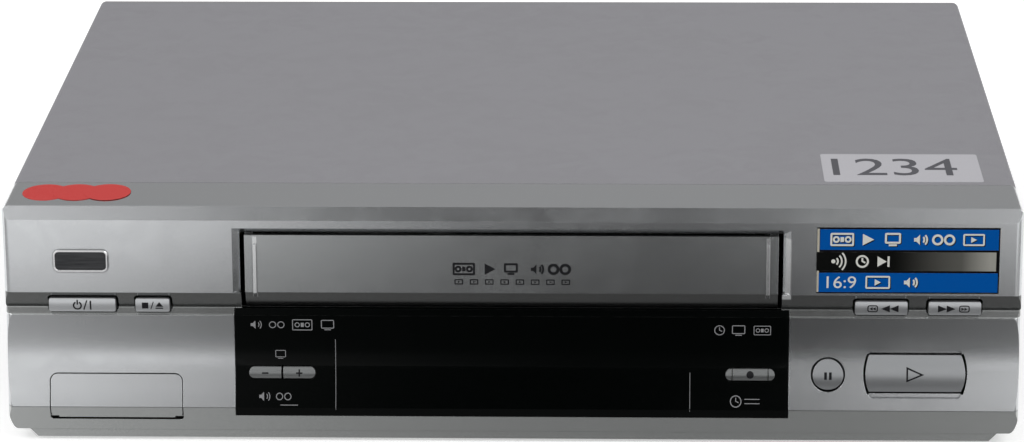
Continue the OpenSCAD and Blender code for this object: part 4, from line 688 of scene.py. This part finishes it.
def stroke(x0, y0, x1, y1, width):
    """A straight line of some width."""
    length = math.dist((x0, y0), (x1, y1))
    ox, oy = -(y1 - y0) / length * width / 2, (x1 - x0) / length * width / 2
    return [[(x0 - ox, y0 - oy), (x1 - ox, y1 - oy), (x1 + ox, y1 + oy), (x0 + ox, y0 + oy)]]


def rounded(cx, cy, wide, high, r):
    """The outline of a rectangle with round corners."""
    x, y = wide / 2 - r, high / 2 - r
    corners = ((x, -y, -90), (x, y, 0), (-x, y, 90), (-x, -y, 180))
    return [p for dx, dy, start in corners for p in arc(cx + dx, cy + dy, r, start, start + 90, 6)]


def frame_of(cx, cy, wide, high, r, width):
    """A rounded rectangle drawn with a line of some width."""
    inner = rounded(cx, cy, wide - 2 * width, high - 2 * width, max(r - width, 0.05))
    return [rounded(cx, cy, wide, high, r), inner]


def triangle(cx, cy, wide, high, way):
    """A filled triangle pointing right (way 1) or left (way -1)."""
    half = way * wide / 2
    return [[(cx - half, cy - high / 2), (cx + half, cy), (cx - half, cy + high / 2)]]


def moved(shapes, dx, dy, scale=1.0):
    """Shapes at another size and place."""
    return [[[(x * scale + dx, y * scale + dy) for x, y in loop] for loop in shape] for shape in shapes]


def placed(rows):
    """Several signs as one list; a row is (sign, x, height) and a scale where it isn't 1."""
    return [shape for row in rows for shape in moved(*row)]


print("a rounded frame has", len(frame_of(0, 0, 7, 4, 1, 0.4)[0]), "points on its outside")

# %% [markdown]
# ## Symbols on the keys
# The signs are the usual ones: a broken ring with a stroke for power, a square and an underlined
# triangle for stop and eject, double triangles for winding, two bars for pause, an open triangle
# for play, a dot for record, and minus and plus for the channel. They are pad printed, so the ink is
# duller than the key's paint and sits a hair above it.

# %% Print the key symbols
INK_BUMP_MM = 0.002


def ink(name, colour, roughness, change, smudge, grain_mm=0.15, specular=0.2):
    """Print ink: smooth and unworn; change is how much the grain alters its colour."""
    return finish(name, colour, roughness, grain=(grain_mm, change), bump_mm=INK_BUMP_MM, smudge=smudge,
                  edge=(0.05, 0.0), specular=specular)


dark_ink = ink("dark_print_ink", tone(14, 14, 18), 0.4, 0.004, 0.01)


def middle(name):
    """The middle of a solid's front, in mm."""
    low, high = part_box(name)
    return (low.x + high.x) / 2 / MM, (low.z + high.z) / 2 / MM


power_sign = [
    band(-1.9, -0.1, 1.5, 0.6, 118, 422), stroke(-1.9, 0.3, -1.9, 2.2, 0.6),
    stroke(0.55, -1.9, 1.9, 2.0, 0.5), bar(3.3, 0.0, 0.6, 3.7),
]
stop_eject_sign = [
    bar(-2.9, 0.0, 2.5, 2.5), stroke(-0.7, -1.5, 0.4, 1.6, 0.34),
    [[(1.2, -0.45), (4.2, -0.45), (2.7, 1.45)]], bar(2.7, -1.1, 3.0, 0.5),
]


def winding_sign(way):
    """Two big triangles, and two small ones in a rounded frame on the key's outer side."""
    small = [triangle(-way * 0.6 + way * i * 1.2, 0, 1.15, 1.3, way) for i in (0, 1)]
    framed = [frame_of(0, 0, 4.1, 2.9, 0.9, 0.42)] + small
    big = [triangle(-1.7, 0, 3.4, 2.9, way), triangle(1.7, 0, 3.4, 2.9, way)]
    big_x, framed_x = (-3.2, 3.7) if way > 0 else (3.3, -3.4)
    return placed([(big, big_x, 0), (framed, framed_x, 0)])


key_signs = {
    "power_key": power_sign,
    "stop_eject_key": stop_eject_sign,
    "rewind_key": winding_sign(-1),
    "fast_forward_key": winding_sign(1),
    "pause_key": [bar(-0.95, -0.25, 1.05, 2.9), bar(0.95, -0.25, 1.05, 2.9)],
    "play_key": [[[(-3.5, -3.0), (3.5, 0.0), (-3.5, 3.0)], [(-2.85, -2.05), (1.95, 0.0), (-2.85, 2.05)]]],
    "channel_down_key": [bar(0, -0.1, 2.5, 0.6)],
    "channel_up_key": [bar(0, -0.1, 2.5, 0.6), bar(0, 0.75, 0.6, 1.1), bar(0, -0.95, 0.6, 1.1)],
    "record_key": [disc(0, 0, 1.45)],
}
for key, sign in key_signs.items():
    centre = middle(key)
    layer(key.replace("_key", "_sign"), cut_flat(moved(sign, *centre)), key, dark_ink)
print(len(key_signs), "key symbols printed")

# %% [markdown]
# ## Signs behind the window and on the cassette door
# The window carries small grey signs and two hair lines, and the cassette door one bigger sign in
# its middle. Plain pictures say what each place is for: a cassette, a loudspeaker, a screen and a
# clock. They are drawn in the same way as the key symbols.

# %% Print the window and door signs
grey_ink = ink("grey_print_ink", tone(122, 122, 124), 0.42, 0.02, 0.02)


def cassette_sign(width=0.35):
    """A video cassette seen from above."""
    return [frame_of(0, 0, 8.0, 4.6, 0.5, width), ring(-2.0, 0.0, 0.85, width), ring(2.0, 0.0, 0.85, width),
            bar(0, 0.0, 1.2, 1.7)]


def speaker_sign(width=0.35):
    """A loudspeaker with two sound waves."""
    cone = [[(-1.9, -0.6), (-1.1, -0.6), (0.0, -1.7), (0.0, 1.7), (-1.1, 0.6), (-1.9, 0.6)]]
    return [cone, band(0.0, 0.0, 1.4, width, -40, 40), band(0.0, 0.0, 2.3, width, -42, 42)]


def screen_sign(width=0.35):
    """A television screen on its foot."""
    return [frame_of(0, 0.3, 5.2, 3.6, 0.5, width), bar(0, -2.0, 2.6, width)]


def clock_sign(width=0.35):
    """A clock face with two hands."""
    hand = width * 0.9
    return [ring(0, 0, 1.9, width), stroke(0, -0.15, 0, 1.25, hand), stroke(0.15, 0.0, 1.0, -0.45, hand)]


def rings_sign(width=0.35):
    """Two channels of sound, as two rings side by side."""
    return [ring(-1.65, 0, 1.25, width), ring(1.65, 0, 1.25, width)]


window_signs = placed([
    (speaker_sign(), -101.0, 48.1), (rings_sign(), -92.6, 48.1), (cassette_sign(), -82.5, 48.1),
    (screen_sign(), -72.5, 48.1), (screen_sign(), -91.3, 36.0, 0.8),
    (speaker_sign(), -98.0, 19.6), (rings_sign(), -90.2, 19.6), ([bar(0, 0, 7.0, 0.3)], -88.0, 16.4),
    (clock_sign(), 82.0, 46.6), (screen_sign(), 89.5, 46.6), (cassette_sign(), 98.8, 46.6, 0.85),
    (clock_sign(), 88.6, 18.6, 1.1), ([bar(0, 0.8, 6.0, 0.3), bar(0, -0.8, 6.0, 0.3)], 95.0, 18.6),
])
window_lines = [bar(-69.5, 28.4, 0.22, 27.5), bar(70.5, 22.0, 0.22, 15.0)]
layer("window_signs", cut_flat(window_signs), "display_window", grey_ink, thick=0.03)
layer("window_lines", cut_flat(window_lines), "display_window", grey_ink, thick=0.02)
play_window = [frame_of(0, 0, 3.4, 2.2, 0.3, 0.45), triangle(0.1, 0, 0.9, 0.9, 1)]
door_sign = placed([
    (cassette_sign(0.75), -18.5, 71.2, 1.1), ([triangle(0, 0, 4.2, 4.6, 1)], -8.2, 71.2),
    (screen_sign(0.75), 0.0, 71.4, 1.05), (speaker_sign(0.7), 10.0, 71.2, 1.15),
    (rings_sign(0.8), 19.0, 71.2, 1.4),
])
door_sign += placed((play_window, -20.5 + 6.0 * i, 66.0) for i in range(8))
layer("door_sign", cut_flat(door_sign), "cassette_door", dark_ink, thick=0.03)
print(len(window_signs), "shapes printed on the window,", len(door_sign), "on the door")

# %% [markdown]
# ## The blank badge
# Beside the cassette door sits a small badge: a dark field in a bright plated rim. It is lofted from
# rounded outlines, each a little smaller and higher than the one before, and every outline is sent
# onto the curved panel first, so the badge hugs it.

# %% Build the badge
BADGE_X, BADGE_Z, BADGE_WIDE, BADGE_HIGH = -169.2, 74.3, 21.7, 9.0
plated = finish("bright_plating", (0.72, 0.72, 0.73), 0.14,
                metallic=1.0, grain=(0.4, 0.01), bump_mm=0.001, smudge=0.04, edge=(0.1, 0.0))
dark_field = finish("dark_badge_lacquer", tone(26, 28, 31), 0.3, metallic=0.2, grain=(0.2, 0.006),
                    bump_mm=0.003, pattern=rolled_lines, pattern_depth=0.4, specular=0.25)


def lofted(name, sections, material, cap=True):
    """A closed form through rounded outlines laid on the panel; a section is (inset, r, lift)."""
    rings = []
    for inset, r, lift in sections:
        outline = rounded(BADGE_X, BADGE_Z, BADGE_WIDE - inset, BADGE_HIGH - inset, r)
        landed = [land("front_panel", "front", u, v) for u, v in outline]
        rings.append([spot + out * lift * MM for spot, out in landed])
    count = len(rings[0])
    corners = [p for loop in rings for p in loop]
    faces = []
    for k in range(len(rings) - 1):
        for i in range(count):
            j = (i + 1) % count
            faces.append((k * count + i, k * count + j, (k + 1) * count + j, (k + 1) * count + i))
    if cap:
        faces += [tuple(range(count)), tuple(range(len(corners) - count, len(corners)))]
    else:
        last = (len(rings) - 1) * count
        faces += [(last + i, last + (i + 1) % count, (i + 1) % count, i) for i in range(count)]
    return piece_from(name, corners, faces, material, solids["front_panel"]["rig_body"])


rim_sections = [(0.0, 2.2, -0.2), (0.0, 2.2, 0.7), (0.5, 2.0, 1.0), (1.5, 1.6, 1.0), (1.9, 1.4, 0.75),
                (1.9, 1.4, -0.2)]
lofted("badge_rim", rim_sections, plated, cap=False)
lofted("badge_field", [(1.86, 1.4, -0.2), (1.86, 1.4, 0.55), (3.4, 0.8, 0.72)], dark_field)
print("badge", BADGE_WIDE, "by", BADGE_HIGH, "mm")

# %% [markdown]
# ## The striped sticker
# A shop sticker with three stripes sits above the winding keys: blue, black fading to a metallic
# beige, and blue. It is a sheet of film over a curved face, so it is a fine grid sent onto the panel.
# The base sheet shows as dark edges, and the pale left border and the stripes are thinner sheets on
# it. Numbers and plain pictures are enough on them.

# %% Sticker sheets
def sheet(x0, x1, z0, z1, step=1.2):
    """A flat grid of squares over a rectangle, ready to be laid on a curved face."""
    across = max(1, round((x1 - x0) / step))
    rows = max(1, round((z1 - z0) / step))
    wide = across + 1
    points = [(x0 + (x1 - x0) * i / across, z0 + (z1 - z0) * j / rows)
              for j in range(rows + 1) for i in range(wide)]
    firsts = [j * wide + i for j in range(rows) for i in range(across)]
    return points, [(k, k + 1, k + wide + 1, k + wide) for k in firsts]


def fade_to_beige(tree, colour):
    """Black film that turns to a metallic beige towards its right end."""
    x = put(tree, "SeparateXYZ", {"Vector": here(tree)}).outputs[0]
    slow = ramp(tree, x, 0.148, 0.180, end=0.3, kind="SMOOTHSTEP")
    quick = ramp(tree, x, 0.176, 0.187, end=0.7)
    share = calculate(tree, "ADD", slow, quick)
    return blend_colours(tree, share, colour, tone(134, 133, 127)), share


FILM_GRAIN_MM, FILM_BUMP_MM = 0.3, 0.002


def film(name, colour, roughness, change, smudge, **settings):
    """Thin smooth film; change is how much the grain alters its colour."""
    return finish(name, colour, roughness, grain=(FILM_GRAIN_MM, change), bump_mm=FILM_BUMP_MM,
                  smudge=smudge, **settings)


blue_film = film("blue_film", tone(0, 70, 140), 0.3, 0.003, 0.005, specular=0.0)
fading_film = film("fading_film", tone(8, 9, 8), 0.3, 0.002, 0.01, pattern=fade_to_beige, specular=0.02)
black_film = film("black_film", tone(10, 10, 12), 0.32, 0.002, 0.02, specular=0.02)
cream_film = film("cream_film", tone(158, 154, 140), 0.4, 0.02, 0.05)
white_ink = ink("pale_print_ink", tone(190, 190, 184), 0.4, 0.02, 0.02)
STICKER = (119.5, 190.7, 62.4, 88.9)
BASE_THICK, FILM_THICK = 0.08, 0.02
BORDER_LIFT, STRIPE_LIFT, SHADOW_LIFT, SIGN_LIFT = 0.10, 0.11, 0.13, 0.14
layer("sticker_sheet", sheet(*STICKER), "front_panel", black_film, thick=BASE_THICK)
stripes = {
    "sticker_border": (119.6, 120.5, 62.9, 88.4, cream_film, BORDER_LIFT),
    "sticker_stripe_top": (120.7, 190.2, 79.9, 88.2, blue_film, STRIPE_LIFT),
    "sticker_stripe_middle": (119.4, 189.4, 71.5, 79.1, fading_film, STRIPE_LIFT),
    "sticker_stripe_bottom": (120.4, 190.2, 62.9, 70.7, blue_film, STRIPE_LIFT),
}
for name, (x0, x1, z0, z1, stuff, lift) in stripes.items():
    layer(name, sheet(x0, x1, z0, z1), "front_panel", stuff, lift=lift, thick=FILM_THICK)
print("sticker", round(STICKER[1] - STICKER[0], 1), "by", round(STICKER[3] - STICKER[2], 1), "mm")

# %% [markdown]
# Numbers come from Blender's own plain typeface: a text object is turned into a mesh, its faces are
# read once, and the text is thrown away. From there on they are laid like any other shape, stretched
# to the width and height that the label has room for.

# %% Numbers and sticker signs
def digits(text, cx, cy, wide, high):
    """A number's faces, fitted into a box in mm."""
    curve = bpy.data.curves.new("number", "FONT")
    curve.body = text
    curve.resolution_u = 4
    draft = bpy.data.objects.new("number", curve)
    bpy.context.scene.collection.objects.link(draft)
    bpy.context.view_layer.update()
    mesh = draft.evaluated_get(bpy.context.evaluated_depsgraph_get()).to_mesh()
    spots = [(v.co.x, v.co.y) for v in mesh.vertices]
    faces = [tuple(p.vertices) for p in mesh.polygons]
    left, right_end = min(x for x, _ in spots), max(x for x, _ in spots)
    low, top = min(y for _, y in spots), max(y for _, y in spots)
    bpy.data.objects.remove(draft)
    fitted = [((x - left) / (right_end - left) * wide + cx - wide / 2,
               (y - low) / (top - low) * high + cy - high / 2) for x, y in spots]
    turned = []
    for face in faces:
        sides = zip(face, face[1:] + face[:1])
        area = sum(fitted[a][0] * fitted[b][1] - fitted[b][0] * fitted[a][1] for a, b in sides)
        turned.append(face if area > 0 else tuple(reversed(face)))
    return fitted, turned


def on_sticker(name, flat, material, lift, thick=FILM_THICK):
    """Lays a print on the striped sticker."""
    layer(name, flat, "front_panel", material, lift=lift, thick=thick)


on_sticker("sticker_number", digits("16:9", 129.3, 66.9, 11.5, 4.8), white_ink, SHADOW_LIFT)
waves = [band(126.0, 75.3, r, 0.65, -45, 45) for r in (1.8, 3.3, 4.8)] + [disc(126.0, 75.3, 0.8)]
sticker_signs = placed([
    (cassette_sign(0.65), 129.3, 84.1, 1.15), ([triangle(0, 0, 4.4, 4.6, 1)], 139.5, 84.1),
    (screen_sign(0.65), 149.0, 84.3, 1.2), (speaker_sign(0.6), 159.5, 84.1, 1.2),
    (rings_sign(0.65), 168.7, 84.1, 1.4),
    ([frame_of(0, 0, 8.4, 4.8, 0.6, 0.65), triangle(0, 0, 2.2, 2.4, 1)], 180.5, 84.1),
    (waves, 0, 0), (clock_sign(0.65), 137.3, 75.3, 1.15),
    ([triangle(0, 0, 3.6, 4.2, 1), bar(2.5, 0, 0.8, 4.2)], 145.0, 75.3),
    ([frame_of(0, 0, 9.6, 5.2, 0.6, 0.65), triangle(0, 0, 2.4, 2.6, 1)], 143.5, 66.9),
    (speaker_sign(0.6), 156.0, 66.9, 1.2),
])
SHADOW = 0.35
shadows = cut_flat(moved(sticker_signs, SHADOW, -SHADOW))
on_sticker("sticker_shadows", shadows, black_film, SHADOW_LIFT, thick=0.01)
on_sticker("sticker_signs", cut_flat(sticker_signs), white_ink, SIGN_LIFT)
print(len(sticker_signs), "shapes and one number on the sticker")

# %% [markdown]
# ## Labels on top
# A white number label lies on the cover near its right front corner, and three round red stickers
# overlap on the strip behind the panel's edge. Paper is a plain thin layer. The red ones are stacked,
# each a paper's thickness above the last.

# %% Labels on the cover
PAPER = {"bump_mm": 0.006, "smudge": 0.05, "edge": (0.1, 0.2)}
label_paper = finish("label_paper", tone(184, 183, 188), 0.55, specular=0.3, grain=(0.4, 0.03), **PAPER)
red_paper = finish("red_sticker_paper", tone(198, 46, 42), 0.6, specular=0.25, grain=(0.35, 0.05), **PAPER)
number_ink = ink("number_print_ink", tone(76, 76, 82), 0.5, 0.01, 0.02, grain_mm=0.2, specular=0.5)
LABEL_X, LABEL_Y, LABEL_WIDE, LABEL_DEEP, LABEL_THICK = 155.65, 47.0, 63.3, 33.0, 0.10
outline = rounded(LABEL_X, LABEL_Y, LABEL_WIDE, LABEL_DEEP, 1.2)
paper = (outline, [tuple(range(len(outline)))])
layer("number_label", paper, "top_cover", label_paper, side="top", thick=LABEL_THICK)
layer("number_label_digits", digits("1234", 153.0, 48.0, 50.0, 20.0), "top_cover", number_ink,
      side="top", lift=LABEL_THICK, thick=0.03)
DOT_Y, DOT_RADIUS, DOT_THICK = 15.0, 9.2, 0.09
for count, x in enumerate((-184.7, -172.4, -160.1)):
    dot = cut_flat([disc(x, DOT_Y, DOT_RADIUS, 48)], 2.0)
    layer(f"red_sticker_{count + 1}", dot, "front_panel", red_paper,
          side="top", lift=DOT_THICK * count, thick=DOT_THICK)
print("one number label and three red stickers")

# %% [markdown]
# ## Floor, room and light
# The recorder was photographed on a white sweep that burns out to plain white, with only a soft
# shadow at the feet. The floor is a pale matte sheet that also glows a little for the camera and for
# mirrored rays, so it looks white without lighting the recorder more. The room is brighter to the
# left and right than straight ahead, as between two soft boxes: that is what shades a metallic panel
# from light ends to a dark middle. A dark card lies in front, seen only in reflections.

# %% Floor and card
def flat_sheet(name, x0, x1, y0, y1, z, material):
    """A level sheet as part of the stage."""
    mesh = bpy.data.meshes.new(name)
    mesh.from_pydata([(x0, y0, z), (x1, y0, z), (x1, y1, z), (x0, y1, z)], [], [(0, 1, 2, 3)])
    mesh.materials.append(material)
    made = bpy.data.objects.new(name, mesh)
    bpy.context.scene.collection.objects.link(made)
    made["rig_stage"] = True
    return made


def stage_paint(name, colour):
    """A matte paint that can glow white: the material, its tree and its shader's sockets."""
    paint = bpy.data.materials.new(name)
    paint.use_nodes = True
    sockets = paint.node_tree.nodes["Principled BSDF"].inputs
    sockets["Base Color"].default_value = (*colour, 1.0)
    sockets["Specular IOR Level"].default_value = 0.0
    sockets["Emission Color"].default_value = (*WHITE, 1.0)
    return paint, paint.node_tree, sockets


def dark_middle(tree, place, middle, dark, rise, light, power=2.0):
    """A strength that grows faster and faster away from a dark middle, up to a limit."""
    aside = calculate(tree, "ABSOLUTE", calculate(tree, "SUBTRACT", place, middle))
    grown = calculate(tree, "MULTIPLY_ADD", calculate(tree, "POWER", aside, power), rise, dark)
    return calculate(tree, "MINIMUM", grown, light)


FLOOR_REACH, FLOOR_GLOW = 14.0, 0.42
floor_paper, tree, sockets = stage_paint("floor_paper", (0.80, 0.80, 0.80))
sockets["Roughness"].default_value = 0.9
rays = put(tree, "LightPath").outputs
mirrored = calculate(tree, "MAXIMUM", rays["Is Glossy Ray"], rays["Is Transmission Ray"])
seen = calculate(tree, "MAXIMUM", rays["Is Camera Ray"], mirrored)
tree.links.new(calculate(tree, "MULTIPLY", seen, FLOOR_GLOW), sockets["Emission Strength"])
flat_sheet("floor", -FLOOR_REACH, FLOOR_REACH, -FLOOR_REACH, FLOOR_REACH, 0.0, floor_paper)

CARD_X, CARD_Y0, CARD_Y1, CARD_Z = 1.6, -3.0, -0.143, 0.0008
CARD_MIDDLE, CARD_DARK, CARD_RISE, CARD_LIGHT = 0.06, 0.07, 9.5, 0.95
CARD_NEAR, CARD_SHADE, CARD_FULL = 0.24, 0.5, 1.2
card_paint, tree, sockets = stage_paint("card_paint", BLACK)
spot = put(tree, "SeparateXYZ", {"Vector": here(tree)}).outputs
across = dark_middle(tree, spot["X"], CARD_MIDDLE, CARD_DARK, CARD_RISE, CARD_LIGHT)
away = ramp(tree, spot["Y"], CARD_Y1 - 0.50, CARD_Y1 - 0.33, CARD_FULL, CARD_SHADE)
across = calculate(tree, "MULTIPLY", across, away)
close = ramp(tree, spot["Y"], CARD_Y1 - 0.06, CARD_Y1 - 0.02, end=CARD_NEAR, kind="SMOOTHSTEP")
tree.links.new(calculate(tree, "ADD", across, close), sockets["Emission Strength"])
card = flat_sheet("reflected_card", -CARD_X, CARD_X, CARD_Y0, CARD_Y1, CARD_Z, card_paint)
card.visible_camera = False
card.visible_diffuse = False
card.visible_shadow = False
print("floor", 2 * FLOOR_REACH, "m across, shaded card", 2 * CARD_X, "m wide")

# %% Room and lamps
world = bpy.data.worlds.new("studio_room")
bpy.context.scene.world = world
world.use_nodes = True
tree = world.node_tree
sky = tree.nodes["Background"]
way = put(tree, "SeparateXYZ", {"Vector": put(tree, "TexCoord").outputs["Generated"]}).outputs
ROOM_MIDDLE, ROOM_DARK, ROOM_RISE, ROOM_LIGHT = -0.012, 0.0, 58.0, 1.02
ROOM_LOW, ROOM_HIGH = 0.36, 0.72
front = dark_middle(tree, way["X"], ROOM_MIDDLE, ROOM_DARK, ROOM_RISE, ROOM_LIGHT, 2.3)
front = calculate(tree, "MULTIPLY", front, ramp(tree, way["Z"], 0.20, 0.38, 1.3, 1.0))
behind = ramp(tree, way["Y"], -0.3, 0.2, kind="SMOOTHSTEP")
back = ramp(tree, way["Z"], 0.42, 0.70, ROOM_LOW, ROOM_HIGH, kind="SMOOTHSTEP")
room = put(tree, "Mix", {"Factor": behind, "A": front, "B": back})
tree.links.new(room.outputs[0], sky.inputs["Strength"])
sky.inputs["Color"].default_value = (1.0, 1.0, 1.0, 1.0)


def soft_box(name, place, aim, wide, high, watts):
    """A rectangular soft lamp at a place, aimed at a point."""
    lamp = bpy.data.lights.new(name, "AREA")
    lamp.shape = "RECTANGLE"
    lamp.size, lamp.size_y, lamp.energy = wide, high, watts
    holder = bpy.data.objects.new(name, lamp)
    holder.location = place
    holder.rotation_euler = (Vector(aim) - Vector(place)).to_track_quat("-Z", "Y").to_euler()
    bpy.context.scene.collection.objects.link(holder)


soft_box("soft_box_left", (-1.3, -0.9, 1.5), (0, 0, 0.05), 1.0, 1.0, 8.0)
soft_box("soft_box_right", (1.3, -0.7, 1.5), (0, 0, 0.05), 1.0, 1.0, 6.0)
print("two soft boxes and a room from", ROOM_DARK, "to", ROOM_LIGHT)

# %% Measure and finish
dressed_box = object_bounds()
grown = [round((d - s) / MM, 3) for d, s in zip(dressed_box[1], solid_box[1])]
print("grown by", grown, "mm at the top corner")
